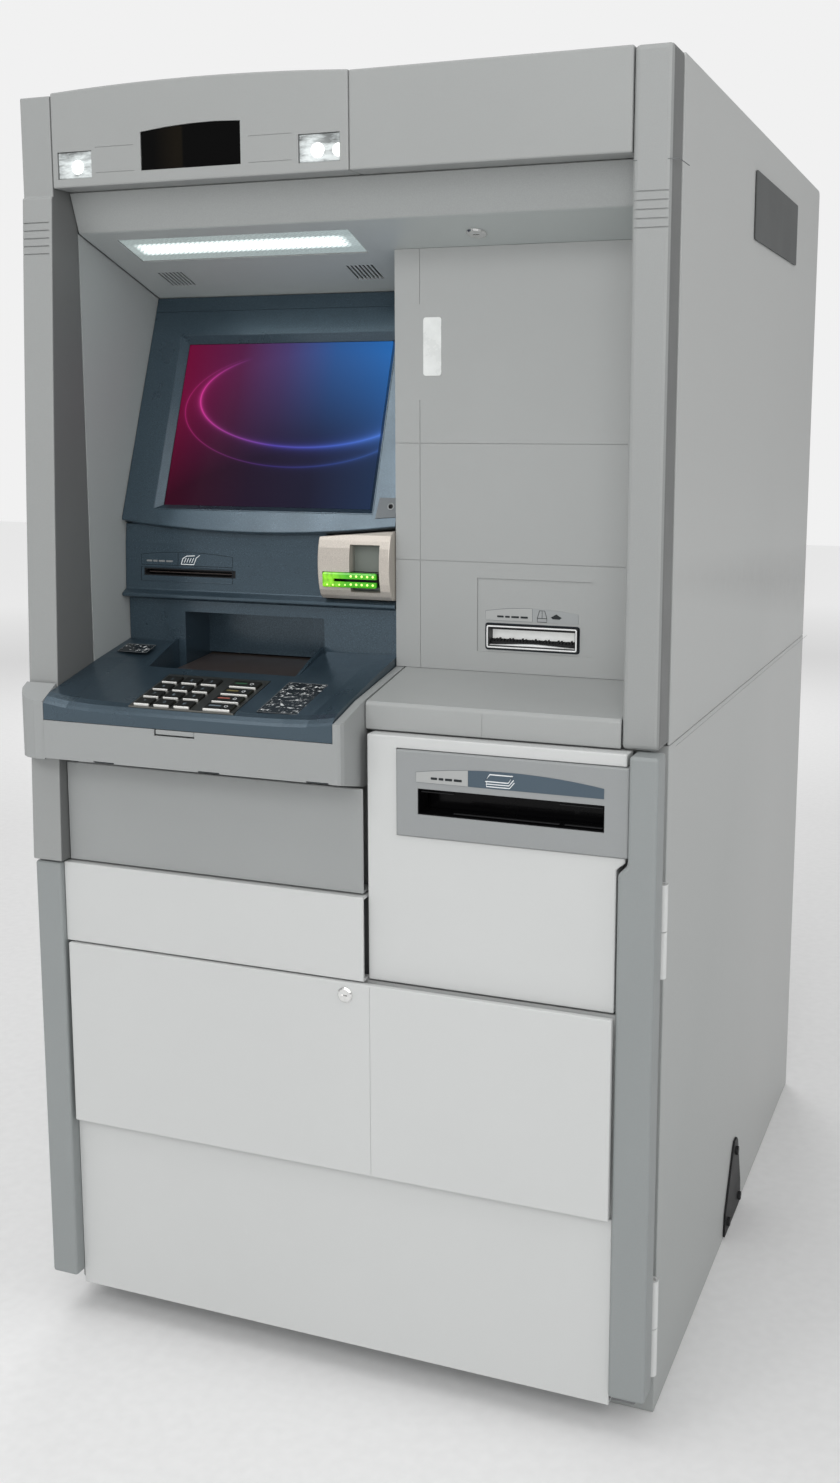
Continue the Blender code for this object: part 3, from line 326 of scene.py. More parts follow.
def cabinet_sheet(name, colour):
    """The cabinet's side sheet: a peel that stretches reflections, greyer near the safe, and a
    painted reflection: a darker mottled band along the flank that drops and widens towards the
    rear.
    """
    s = Shader(name)
    _, y, z = s.xyz()
    grain = s.noise(330.0, 3.0, 0.6)
    cloud = s.noise(1.7, 3.0, 0.55)
    base = s.ramp(cloud, ((0.3, shade(colour, 0.985)), (0.7, shade(colour, 1.015))))
    low = s.span(z, 0.1, 1.1)
    front = s.span(y, world_y(0.05), world_y(0.75))
    tone = s.math("MAXIMUM", low, front)
    tint = s.ramp(tone, ((0.0, (0.8, 0.82, 0.82)), (1.0, (1.0, 1.0, 1.0))))
    base = s.mix(1.0, base, tint, "MULTIPLY")
    # painted reflection: a dark band across the side, lower and wider towards the rear, mottled,
    # on faces looking along +X; it darkens the colour and lowers the roughness
    rear = s.span(y, world_y(0.1), world_y(1.00))
    middle = s.math("MULTIPLY_ADD", rear, -0.085, 1.03)
    away = s.math("ABSOLUTE", s.math("SUBTRACT", z, middle))
    reach = s.math("MULTIPLY_ADD", rear, 0.035, 0.03)
    band = s.math("SUBTRACT", 1.0, s.math("DIVIDE", away, reach))
    band = s.times(s.span(band, 0.0, 1.0), s.span(rear, 0.0, 0.6, 0.25, 1.0))
    mottle = s.span(s.noise(55.0, 4.0, 0.7), 0.3, 0.7, 0.55, 1.0)
    flank = s.span(s.facing(0), 0.8, 0.95)
    haze = s.times(s.times(band, mottle), flank)
    coat = s.mix(s.times(haze, 0.55), base, shade(colour, 0.45))
    hinge = s.span(y, world_y(0.048), world_y(0.049), 1.0, 0.0)
    s.set(Base_Color=s.mix(hinge, coat, HINGE_GREY))
    rough = s.math("MULTIPLY_ADD", haze, -0.1, 0.4)
    s.set(Roughness=s.math("MULTIPLY_ADD", grain, 0.1, rough))
    s.bump(s.noise(5.0, 1.0), 0.25, 0.0006)
    s.bump(grain, 0.35, 0.00012)
    return s.material


def glossy(name, colour, rough=0.12, glow=0.0, gloss=0.5):
    """Smooth hard plastic or glass front, faintly marked."""
    s = Shader(name)
    s.set(Specular_IOR_Level=gloss)
    haze = s.noise(30.0, 5.0, 0.65)
    s.set(Base_Color=s.ramp(haze, ((0.3, shade(colour, 0.9)), (0.7, shade(colour, 1.1)))))
    s.set(Roughness=s.span(haze, 0.3, 0.75, rough, rough + 0.07))
    if glow:
        s.set(Emission_Color=(*colour, 1.0), Emission_Strength=glow)
    return s.material


def lamp_lens():
    """The work-light lens: a dotted bright strip inside glassy grey-green edges."""
    s = Shader("work_light_lens")
    x, y, _ = s.xyz()
    along = s.math("ABSOLUTE", s.math("ADD", x, 0.1615))
    across = s.math("ABSOLUTE", s.math("SUBTRACT", y, world_y(0.0985)))
    edge = s.span(across, 0.008, 0.0155, 1.0, 0.0)
    ends = s.span(along, 0.136, 0.15, 1.0, 0.0)
    dots = s.times(s.math("SINE", s.times(x, 900.0)), s.math("SINE", s.times(y, 900.0)))
    ripple = s.span(dots, -0.7, 0.6, 0.16, 1.0)
    glow = s.times(s.times(edge, ends), ripple)
    s.set(Base_Color=s.mix(edge, (0.36, 0.45, 0.44), (0.5, 0.6, 0.59)), Roughness=0.22)
    s.set(Emission_Color=(0.9, 1.0, 0.98, 1.0))
    s.set(Emission_Strength=s.math("MULTIPLY_ADD", glow, 2.1, 0.22))
    s.bump(dots, 0.4, 0.0005)
    return s.material


def guide_light():
    """Clear green light guide: yellower and cloudier at its root."""
    s = Shader("guide_light_green")
    x, y, _ = s.xyz()
    root = s.span(x, -0.044, -0.022, 1.0, 0.0)
    body = s.mix(root, (0.022, 0.27, 0.004), (0.23, 0.56, 0.02))
    cloud = s.span(s.noise(260.0, 3.0, 0.6), 0.35, 0.65, 0.55, 1.15)
    inside = s.span(y, world_y(0.1012), world_y(0.105))
    s.set(Base_Color=s.mix(inside, (0.06, 0.26, 0.01), (0.004, 0.02, 0.001)), Roughness=0.12)
    s.set(Emission_Color=body)
    s.set(Emission_Strength=s.times(cloud, s.math("SUBTRACT", 1.0, inside)))
    return s.material


def ellipse_gap(s, x, y, centre, radii):
    """How far a point of the picture is from an ellipse, in picture widths."""
    run = s.math("DIVIDE", s.math("SUBTRACT", x, centre[0]), radii[0])
    rise = s.math("DIVIDE", s.math("SUBTRACT", y, centre[1]), radii[1])
    return s.times(s.math("SUBTRACT", s.length(run, rise), 1.0), radii[1])


def screen_image():
    """A plain glowing picture: magenta to blue, dark below, with two sweeps of light."""
    s = Shader("screen_image")
    x, y, _ = s.xyz("UV")
    high = s.ramp(x, ((0.0, (0.165, 0.003, 0.036)), (0.28, (0.1, 0.012, 0.065)),
                      (0.5, (0.07, 0.045, 0.165)), (0.74, (0.026, 0.105, 0.33)),
                      (1.0, (0.018, 0.15, 0.48))))
    low = s.ramp(x, ((0.0, (0.042, 0.002, 0.01)), (0.4, (0.012, 0.002, 0.016)),
                     (0.7, (0.004, 0.004, 0.022)), (1.0, (0.004, 0.022, 0.07))))
    left = s.math("SUBTRACT", 1.0, x)
    level = s.math("ADD", y, s.times(s.times(left, left), 0.4))
    level = s.math("ADD", level, s.times(s.times(x, x), 0.12))
    colour = s.mix(s.span(level, 0.44, 1.04), low, high)
    tint = s.ramp(x, ((0.06, (0.85, 0.05, 0.36)), (0.26, (0.42, 0.06, 0.42)),
                      (0.5, (0.1, 0.07, 0.52)), (0.8, (0.06, 0.13, 0.62)),
                      (1.0, (0.07, 0.18, 0.66))))
    sweeps = (((0.64, 0.66), (0.54, 0.3), 0.006, 0.95),
              ((0.6, 0.6), (0.57, 0.36), 0.003, 0.35))
    for centre, radii, width, power in sweeps:
        gap = ellipse_gap(s, x, y, centre, radii)
        wide = s.span(x, 0.3, 1.0, width, width * 5.0)
        core = s.math("DIVIDE", wide, s.math("ADD", s.math("ABSOLUTE", gap), wide))
        core = s.math("POWER", core, 2.4)
        above = s.times(s.span(y, centre[1], centre[1] + 0.24), s.span(x, 0.16, 0.34, 0.4, 1.0))
        shown = s.math("SUBTRACT", 1.0, above)
        right = s.times(s.span(x, 0.4, 0.6), s.span(y, centre[1] - 0.02, centre[1] + 0.1))
        shown = s.times(shown, s.math("SUBTRACT", 1.0, right))
        colour = s.mix(s.times(s.times(core, shown), power), colour, tint, "ADD")
    s.set(Base_Color=(0.003, 0.003, 0.006, 1.0), Roughness=0.25, Specular_IOR_Level=0.05)
    s.set(Emission_Color=colour, Emission_Strength=0.84)
    return s.material


def sensor_glass():
    """The dark sensor window, with a faint warm patch where the optics sit behind it."""
    s = Shader("sensor_window_gloss")
    x = s.xyz()[0]
    patch = s.times(s.span(x, -0.222, -0.192), s.span(x, -0.184, -0.181, 1.0, 0.0))
    s.set(Base_Color=s.mix(patch, (0.0025, 0.0025, 0.0025), (0.0085, 0.0068, 0.0045)))
    s.set(Roughness=s.span(s.noise(30.0, 5.0, 0.65), 0.3, 0.75, 0.1, 0.18))
    s.set(Specular_IOR_Level=0.06)
    return s.material


def printed_plate():
    """A dark plate with a mottled silver print that says nothing."""
    s = Shader("printed_plate")
    blot = s.noise(170.0, 5.0, 0.75)
    line = s.noise(60.0, 3.0, 0.6, (1.0, 3.0, 3.0))
    mask = s.times(s.span(blot, 0.53, 0.6), s.span(line, 0.45, 0.55))
    s.set(Base_Color=s.mix(mask, (0.014, 0.017, 0.02), (0.78, 0.8, 0.8)))
    s.set(Roughness=s.span(mask, 0.0, 1.0, 0.22, 0.4))
    return s.material


def studio_floor():
    """A pale matt floor that brightens with distance until it meets the background."""
    s = Shader("studio_floor")
    x, y, _ = s.xyz()
    away = s.length(x, y)
    grain = s.noise(60.0, 2.0, 0.45)
    s.set(Base_Color=s.ramp(grain, ((0.3, (0.8, 0.8, 0.8)), (0.7, (0.83, 0.83, 0.83)))))
    s.set(Roughness=0.75, Emission_Strength=s.span(away, 2.6, 8.5, 0.0, 0.41))
    s.set(Emission_Color=(1.0, 1.0, 1.0, 1.0))
    return s.material


def make_finishes():
    """Every material, by short name."""
    return {
        "cabinet": cabinet_sheet("cabinet_powder_coat", (0.44, 0.45, 0.444)),
        # painted light and shade: the fascia, header, recess wall, lower, deposit and lower pillar
        # greys are one moulding, each made lighter or darker for how light falls on that part
        "fascia": moulded("fascia_moulding", (0.35, 0.361, 0.357)),
        "header": moulded("header_moulding", (0.312, 0.322, 0.318)),
        "lintel": canopy_moulding(),
        "wall": moulded("recess_moulding", (0.38, 0.402, 0.4)),
        "lower": moulded("lower_moulding", (0.314, 0.326, 0.325)),
        "deposit": moulded("deposit_moulding", (0.287, 0.3, 0.303)),
        "pillar": moulded("lower_pillar_moulding", (0.268, 0.287, 0.288), 0.48),
        "white": painted("white_panel_paint", (0.563, 0.574, 0.569), 0.42, 380.0, 0.00008, 0.0004),
        "blue": metallic_paint("console_lacquer", (0.056, 0.09, 0.118)),
        "silver": reader_lacquer(),
        "steel": key_cap(),
        "frame": bare_metal("keypad_frame_steel", (0.215, 0.215, 0.2), 0.36),
        "pin": bare_metal("hinge_pin_steel", (0.6, 0.6, 0.58), 0.28, (40.0, 40.0, 1.0)),
        "chrome": bare_metal("plated_lock", (0.8, 0.8, 0.79), 0.14, (6.0, 6.0, 6.0), 30.0),
        "black": glossy("black_gloss", (0.003, 0.003, 0.0035), 0.12, gloss=0.12),
        "matte": moulded("black_moulding", (0.014, 0.014, 0.015), gloss=0.2),
        "shutter": moulded("shutter_brown", (0.05, 0.038, 0.034), 0.34, 1200.0),
        "safe": safe_paint(),
        "module": bare_metal("module_zinc", (0.4, 0.41, 0.42), 0.45, (1.0, 1.0, 1.0), 18.0),
        "lens": lamp_lens(),
        "lamp_left": lamp_reflector("left_lamp_reflector", -0.3285, 1.5145),
        "lamp_right": lamp_reflector("right_lamp_reflector", -0.0065, 1.5145),
        "pillar_shaded_side": pillar_moulding("pillar_moulding", (0.302, 0.312, 0.309)),
        "camera_grey": moulded("camera_grey", (0.125, 0.14, 0.15), 0.4),
        "groove": glossy("groove_ink", (0.012, 0.018, 0.024), 0.4, gloss=0.2),
        "grey_line": glossy("grey_line", (0.2, 0.215, 0.22), 0.4, gloss=0.2),
        "bulb": glossy("lamp_bulb", (1.0, 1.0, 0.97), 0.2, 1.9),
        "green": guide_light(),
        "image": screen_image(),
        "window": sensor_glass(),
        "print": printed_plate(),
        "ink": glossy("dark_ink", (0.02, 0.024, 0.026), 0.4, gloss=0.2),
        "pale": glossy("pale_ink", (0.74, 0.77, 0.78), 0.4),
        "printer": moulded("printer_dark", (0.03, 0.031, 0.032), 0.45),
        "grey_ink": glossy("grey_ink", (0.16, 0.2, 0.23), 0.4),
        "label_light": moulded("label_light_grey", (0.385, 0.395, 0.39), 0.42),
        "label_blue": moulded("label_blue_grey", (0.075, 0.105, 0.133), 0.42, 900.0, 0.0001, 0.2),
        "label_cool": moulded("label_cool_grey", (0.318, 0.334, 0.337), 0.42),
        "indicator": glossy("indicator_white", (0.66, 0.68, 0.67), 0.25, 0.06),
        # painted light: the white chute plate glows though no lamp lights it
        "chute": glossy("chute_white_painted_glow", (0.6, 0.61, 0.6), 0.3, 0.36),
        # painted reflection: the plated rim and lip are drawn as a pale non-metal that glows
        # faintly, standing in for their bright reflections
        "rim": glossy("receipt_rim_plating_painted_sheen", (0.74, 0.75, 0.75), 0.22, 0.1),
        "key_green": glossy("key_mark_green", (0.035, 0.11, 0.055), 0.35),
        "key_red": glossy("key_mark_red", (0.36, 0.11, 0.085), 0.35),
        "key_yellow": glossy("key_mark_yellow", (0.2, 0.165, 0.06), 0.35),
        "filter": moulded("vent_filter", (0.1, 0.105, 0.105), 0.8, 400.0, 0.0004),
        "led": glossy("guide_lamp_core", (0.62, 1.0, 0.22), 0.3, 0.9),
        "seal": glossy("seal_grey", (0.36, 0.37, 0.365), 0.5, gloss=0.1),
        "seam": glossy("seam_shade", (0.14, 0.148, 0.15), 0.5, gloss=0.1),
        "floor": studio_floor(),
    }


FINISH = {}


# ---- mesh helpers ----
def new_object(name, data):
    """A new object in the scene."""
    thing = bpy.data.objects.new(name, data)
    bpy.context.scene.collection.objects.link(thing)
    return thing


def build(name, shape, finish, body, matrix, bevel=0.0, segments=2):
    """Turn a bmesh into a piece on a CAD body, placed by a matrix and with rounded edges."""
    bmesh.ops.recalc_face_normals(shape, faces=shape.faces)
    bmesh.ops.transform(shape, matrix=matrix, verts=shape.verts)
    mesh = bpy.data.meshes.new(name)
    shape.to_mesh(mesh)
    shape.free()
    mesh.shade_smooth()
    mesh.set_sharp_from_angle(angle=EDGE_ANGLE)
    mesh.materials.append(FINISH[finish])
    thing = new_object(name, mesh)
    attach(thing, body)
    if bevel:
        step = thing.modifiers.new("edges", "BEVEL")
        step.width = bevel
        step.segments = segments
        step.limit_method = "ANGLE"
        step.angle_limit = EDGE_ANGLE
        step.harden_normals = True


def slab(outline, low, high):
    """A bmesh plate with an (x, y) outline between two levels of Z."""
    shape = bmesh.new()
    bottom = [shape.verts.new((x, y, low)) for x, y in outline]
    top = [shape.verts.new((x, y, high)) for x, y in outline]
    shape.faces.new(list(reversed(bottom)))
    shape.faces.new(top)
    for i in range(len(outline)):
        j = (i + 1) % len(outline)
        shape.faces.new((bottom[i], bottom[j], top[j], top[i]))
    return shape


def plate(x0, x1, y0, y1, low, high):
    """A plain rectangular plate, between two levels of Z."""
    return slab([(x0, y0), (x1, y0), (x1, y1), (x0, y1)], low, high)


def around(centre, radius, turn):
    """A point on a circle."""
    return centre[0] + radius * math.cos(turn), centre[1] + radius * math.sin(turn)


def rounded(x0, x1, y0, y1, radius, steps=5):
    """Outline of a rectangle with round corners, anticlockwise."""
    outline = []
    for cx, cy, start in ((x1 - radius, y1 - radius, 0), (x0 + radius, y1 - radius, 90),
                          (x0 + radius, y0 + radius, 180), (x1 - radius, y0 + radius, 270)):
        for i in range(steps + 1):
            outline.append(around((cx, cy), radius, math.radians(start + 90 * i / steps)))
    return outline


def bars(spots, y0, y1, low, high):
    """A row of small round-cornered bars, from (x, width) pairs."""
    return [slab(rounded(x, x + width, y0, y1, 0.0006, 2), low, high) for x, width in spots]


def join(*shapes):
    """Several bmeshes in one."""
    whole = bmesh.new()
    for part in shapes:
        mesh = bpy.data.meshes.new("part")
        bmesh.ops.recalc_face_normals(part, faces=part.faces)
        part.to_mesh(mesh)
        part.free()
        whole.from_mesh(mesh)
        bpy.data.meshes.remove(mesh)
    return whole


def ribbon(points, width, low, high, closed=False):
    """A line of constant width along (x, y) points, as a thin plate."""
    count = len(points)
    left, right = [], []
    for i in range(count):
        if closed:
            before, after = points[i - 1], points[(i + 1) % count]
        else:
            before, after = points[max(i - 1, 0)], points[min(i + 1, count - 1)]
        run = Vector((after[0] - before[0], after[1] - before[1])).normalized()
        side = Vector((-run.y, run.x)) * width / 2
        left.append((points[i][0] + side.x, points[i][1] + side.y))
        right.append((points[i][0] - side.x, points[i][1] - side.y))
    return tube(left, right, low, high, closed)


def tube(outer, inner, low, high, closed=True):
    """A bmesh wall between two lines of as many points, from low to high."""
    count = len(outer)
    shape = bmesh.new()
    rings = [[shape.verts.new((x, y, level)) for x, y in line]
             for line, level in ((outer, low), (inner, low), (inner, high), (outer, high))]
    for i in range(count if closed else count - 1):
        j = (i + 1) % count
        for a, b in ((0, 1), (1, 2), (2, 3), (3, 0)):
            shape.faces.new((rings[a][i], rings[b][i], rings[b][j], rings[a][j]))
    if not closed:
        for i in (0, count - 1):
            shape.faces.new([rings[k][i] for k in range(4)])
    return shape


def turned(profile, centre, sides=24):
    """A bmesh turned about Z from (radius, height) pairs."""
    shape = bmesh.new()
    rings = []
    for radius, level in profile:
        if radius <= 0.0:
            rings.append([shape.verts.new((centre[0], centre[1], level))])
            continue
        circle = [around(centre, radius, 2 * math.pi * i / sides) for i in range(sides)]
        rings.append([shape.verts.new((*point, level)) for point in circle])
    for a, b in zip(rings, rings[1:]):
        for i in range(sides):
            j = (i + 1) % sides
            if len(b) == 1:
                shape.faces.new((a[i], a[j], b[0]))
            elif len(a) == 1:
                shape.faces.new((a[0], b[j], b[i]))
            else:
                shape.faces.new((a[i], a[j], b[j], b[i]))
    if len(rings[0]) > 1:
        shape.faces.new(list(reversed(rings[0])))
    if len(rings[-1]) > 1:
        shape.faces.new(rings[-1])
    return shape


def arched_top(x, x0, x1, left, right, bulge):
    """Height of an arched label's top edge at x."""
    t = (x1 - x) / (x1 - x0)
    return right + (left - right) * t + 4 * bulge * t * (1 - t)


def arched_piece(x0, x1, low, top, steps=10):
    """Outline of a stretch of an arched label, whose top edge is a function of x."""
    edge = [x1 + (x0 - x1) * i / steps for i in range(steps + 1)]
    return [(x0, low), (x1, low)] + [(x, top(x)) for x in edge]


def tilted(x, d, z, angle):
    """Matrix from a flat drawing to a plane through a place, leant back about X."""
    return Matrix.Translation((x, world_y(d), z)) @ Matrix.Rotation(angle, 4, "X")


def on_front(d):
    """Matrix from a flat drawing (x, height) to a vertical face that looks forward at depth d."""
    return tilted(0.0, d, 0.0, UPRIGHT)


def on_deck(x, d, lift):
    """Matrix from a flat drawing to lift over the sloping deck, centred on x and depth d."""
    z = DECK_EDGE[1] + DECK_RISE * (d - DECK_EDGE[0])
    return tilted(x, d, z, math.atan(DECK_RISE)) @ Matrix.Translation((0.0, 0.0, lift))


def on_soffit(d, lift):
    """Matrix from a flat drawing to lift over the sloping soffit's underside at depth d."""
    z = SOFFIT_EDGE[1] + SOFFIT_RISE * (d - SOFFIT_EDGE[0])
    return tilted(0.0, d, z + lift, math.atan(SOFFIT_RISE))


def on_screen():
    """Matrix from a flat drawing to the plane of the display glass."""
    return tilted(*SCREEN_CENTRE, UPRIGHT - SCREEN_TILT)


def on_side(x):
    """Matrix from a flat drawing (depth, height) to a plane that looks along +X at x."""
    return Matrix(((0.0, 0.0, 1.0, x), (1.0, 0.0, 0.0, FASCIA_Y), (0.0, 1.0, 0.0, 0.0),
                   (0.0, 0.0, 0.0, 1.0)))


def on_band():
    """Matrix from a flat drawing (x, height above the ridge) to the leaning card band."""
    lean = math.atan((BAND_TOP[0] - BAND_FOOT[0]) / (BAND_TOP[1] - BAND_FOOT[1]))
    return tilted(0.0, *BAND_FOOT, UPRIGHT - lean)


def text_shape(words, size, thick):
    """Numerals and signs as a bmesh, centred on the origin."""
    curve = bpy.data.curves.new("numerals", "FONT")
    curve.body = words
    curve.size = size
    curve.extrude = thick / 2
    curve.align_x = "CENTER"
    curve.align_y = "CENTER"
    curve.resolution_u = 3
    holder = new_object("numerals", curve)
    mesh = bpy.data.meshes.new_from_object(
        holder.evaluated_get(bpy.context.evaluated_depsgraph_get()))
    shape = bmesh.new()
    shape.from_mesh(mesh)
    bpy.data.objects.remove(holder)
    bpy.data.meshes.remove(mesh)
    bpy.data.curves.remove(curve)
    return shape


# ---- finishes on the CAD nodes ----
def dress_nodes():
    """Give every CAD node its finish."""
    groups = {
        "cabinet": ("safe_body", "cabinet_shell"),
        "matte": ("anchor_bracket_left", "anchor_bracket_right", "cash_cassette_1",
                  "cash_cassette_2"),
        "black": ("display_module", "deposit_shutter"),
        "window": ("sensor_window",),
        "pin": ("hinge_pin_upper", "hinge_pin_lower"),
        "frame": ("keypad_frame",),
        "module": ("computer_core", "cash_dispenser"),
        "header": ("header_left_panel", "header_right_panel"),
        "fascia": ("utility_panel", "ledge"),
        "pillar_shaded_side": ("left_pillar", "right_pillar"),
        "lower": ("console_tray", "skirt_panel"),
        "deposit": ("deposit_bezel",),
        "lintel": ("canopy_soffit",),
        "wall": ("recess_side_wall",),
        "lamp_left": ("lamp_left",),
        "lamp_right": ("lamp_right",),
        "lens": ("light_lens",),
        "blue": ("screen_bezel", "card_band", "console_deck"),
        "silver": ("card_reader_bezel",),
        "green": ("card_guide_light",),
        "shutter": ("cash_shutter",),
        "chrome": ("fascia_lock_plug", "flap_lock_plug", "safe_handle"),
        "printer": ("receipt_printer",),
        "safe": ("safe_door",),
        "white": ("door_front_panel", "right_front_panel", "access_flap"),
        "pillar": ("lower_left_pillar", "lower_right_pillar"),
    }
    groups["steel"] = tuple(name for name in NODES if name.startswith("key_"))
    for finish, names in groups.items():
        for name in names:
            NODES[name].data.materials.clear()
            NODES[name].data.materials.append(FINISH[finish])


# ---- pieces ----
def make_screen():
    """The glowing picture under its glass, its rounded lip, and the camera plate."""
    half_wide, half_tall = 0.1515, 0.1135
    outline = rounded(-half_wide, half_wide, -half_tall, half_tall, 0.001, 2)
    shape = slab(outline, -0.0012, -0.0004)
    layer = shape.loops.layers.uv.new("UVMap")
    for face in shape.faces:
        for loop in face.loops:
            spot = loop.vert.co
            loop[layer].uv = (spot.x / half_wide / 2 + 0.5, spot.y / half_tall / 2 + 0.5)
    place = on_screen()
    build("screen_picture", shape, "image", "fascia", place)
    lip = ribbon(rounded(-0.1608, 0.1608, -0.1228, 0.1228, 0.0016, 3), 0.0014, 0.0092, 0.0102,
                 True)
    build("screen_lip", lip, "blue", "fascia", place, 0.0004)
    cover = slab([(0.1655, -0.1285), (0.193, -0.1265), (0.193, -0.101), (0.168, -0.101)],
                 0.0094, 0.0106)
    build("camera_plate", cover, "camera_grey", "fascia", place, 0.0005)
    eye = (0.185, -0.1125)
    ring = [(0.0046, 0.0104), (0.0046, 0.0112), (0.0038, 0.0116), (0.0032, 0.0108),
            (0.0, 0.0107)]
    build("camera_ring", turned(ring, eye), "label_cool", "fascia", place)
    glass = [(0.003, 0.0107), (0.0028, 0.0114), (0.0018, 0.0119), (0.0, 0.0121)]
    build("camera_lens", turned(glass, eye), "black", "fascia", place)


def make_lamps():
    """The bulb in each header lamp, and a glowing spot at the right lamp's edge that is a painted
    reflection of the bulb in the housing's side wall.
    """
    for label, x, z in (("left", -0.33, 1.5145), ("right", -0.005, 1.5155)):
        profile = [(0.0081, 0.0), (0.0081, 0.006), (0.0074, 0.0078), (0.005, 0.009),
                   (0.0, 0.0094)]
        build(f"lamp_bulb_{label}", turned(profile, (x, z), 24), "bulb", "fascia",
              on_front(0.0098))
    # painted reflection: a glowing half disc standing in for the bulb's reflection in the right
    # housing's mirrored side wall
    centre, radius, edge = (0.0215, 1.5145), 0.0072, 0.0232
    swing = math.acos((edge - centre[0]) / radius)
    spot = [around(centre, radius, swing + (2 * math.pi - 2 * swing) * i / 16) for i in range(17)]
    build("lamp_painted_reflection_right", slab(spot, 0.0, 0.0006), "bulb", "fascia", on_front(0.0014),
          0.0002, 1)


def key_middle(name):
    """The x and depth of the middle of a key."""
    low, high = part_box(name)
    return (low.x + high.x) / 2, (low.y + high.y) / 2 - FASCIA_Y


def make_key_marks():
    """Small numerals and signs on the key caps, and a coloured bar on the function keys."""
    signs = {digit: digit for digit in "123456789"}
    signs |= {"star": "*", "0": "0", "hash": "#"}
    for key, sign in signs.items():
        shape = text_shape(sign, 0.0078, 0.00012)
        build(f"key_{key}_mark", shape, "grey_ink", f"button_{key}",
              on_deck(*key_middle(f"key_{key}"), NUMERAL_LIFT))
    for key, finish in (("enter", "key_green"), ("clear", "key_yellow"),
                        ("cancel", "key_red"), ("help", "grey_ink")):
        place = on_deck(*key_middle(f"key_{key}"), SIGN_LIFT)
        bar = slab(rounded(-0.0145, 0.002, -0.0006, 0.0024, 0.0008, 3), 0.0, 0.00015)
        build(f"key_{key}_bar", bar, finish, f"button_{key}", place)
        circle = [around((0.009, 0.0008), 0.0022, step * math.pi / 8) for step in range(16)]
        ring = ribbon(circle, 0.0007, 0.0, 0.00015, True)
        build(f"key_{key}_mark", ring, "pale", f"button_{key}", place)


def make_plates():
    """The printed plate beside the keypad, and the small one at the back of the deck."""
    spots = (("right", (0.036, 0.045), (-0.0365, -0.0035, 0.0006)),
             ("left", (0.023, 0.014), (-0.332, 0.1, 0.006)))
    for label, (half_x, half_y), spot in spots:
        place = on_deck(*spot)

        def inset(gap, corner):
            return rounded(gap - half_x, half_x - gap, gap - half_y, half_y - gap, corner, 2)

        base = slab(inset(0.0, 0.0008), 0.0, 0.0004)
        build(f"deck_plate_{label}", base, "groove", "fascia", place, 0.0002, 1)
        face = slab(inset(0.002, 0.0006), 0.0004, 0.0006)
        build(f"deck_print_{label}", face, "print", "fascia", place)
        line = ribbon(inset(0.001, 0.0006), 0.0005, 0.0004, 0.0006, True)
        build(f"deck_rule_{label}", line, "grey_line", "fascia", place)


def make_deposit_label():
    """The two-part label over the deposit slot, with its stack-of-notes sign."""
    def top(x):
        return arched_top(x, 0.1242, 0.3532, 0.8026, 0.8025, 0.0088)

    place = on_front(DEPOSIT_FACE)
    low, split = 0.7906, 0.1895
    left = slab(arched_piece(0.1242, split, low, top, 5), 0.0, 0.0004)
    build("deposit_label_left", left, "label_light", "door", place)
    rule = ribbon(arched_piece(0.1242, split, low, top, 6), 0.0005, 0.0, 0.0005, True)
    build("deposit_label_rule", rule, "grey_line", "door", place)
    right = slab(arched_piece(split + 0.0004, 0.3532, low, top, 12), 0.0, 0.0005)
    build("deposit_label_right", right, "label_blue", "door", place)
    sheet = [(0.2108, 0.799), (0.2392, 0.799), (0.245, 0.8074), (0.2166, 0.8074)]
    lines = [ribbon(sheet, 0.0013, 0.0005, 0.0007, True)]
    for step in (1, 2):
        drop, shift = -0.003 * step, 0.0008 * step
        lines.append(ribbon([(0.2128, 0.799 + drop + 0.0022), (0.2108 + shift, 0.799 + drop),
                             (0.2392 + shift, 0.799 + drop), (0.245 + shift, 0.806 + drop)],
                            0.0011, 0.0005, 0.0007))
    build("deposit_sign", join(*lines), "pale", "door", place)
    marks = bars(((0.143, 0.008), (0.153, 0.006), (0.161, 0.009), (0.172, 0.01)),
                 0.7952, 0.798, 0.0005, 0.0007)
    build("deposit_mark", join(*marks), "ink", "door", place)


def make_deposit_mouth():
    """The black liner of the deposit slot, its guide rails and its gate's front."""
    place = on_front(DEPOSIT_FACE + 0.0008)
    outer = rounded(0.1263, 0.3537, 0.7518, 0.7827, 0.0006, 2)
    inner = rounded(0.1273, 0.3527, 0.7528, 0.7817, 0.0014, 2)
    build("deposit_liner", tube(outer, inner, -0.029, 0.0), "black", "door", place,
          0.0002, 1)
    rails = []
    for x0, x1, z in ((0.129, 0.17, 0.7782), (0.3, 0.351, 0.7782),
                      (0.17, 0.3, 0.7548), (0.306, 0.351, 0.7548)):
        rails.append(slab(rounded(x0, x1, z, z + 0.001, 0.0004, 2), -0.006, -0.003))
    build("deposit_rails", join(*rails), "matte", "door", place)


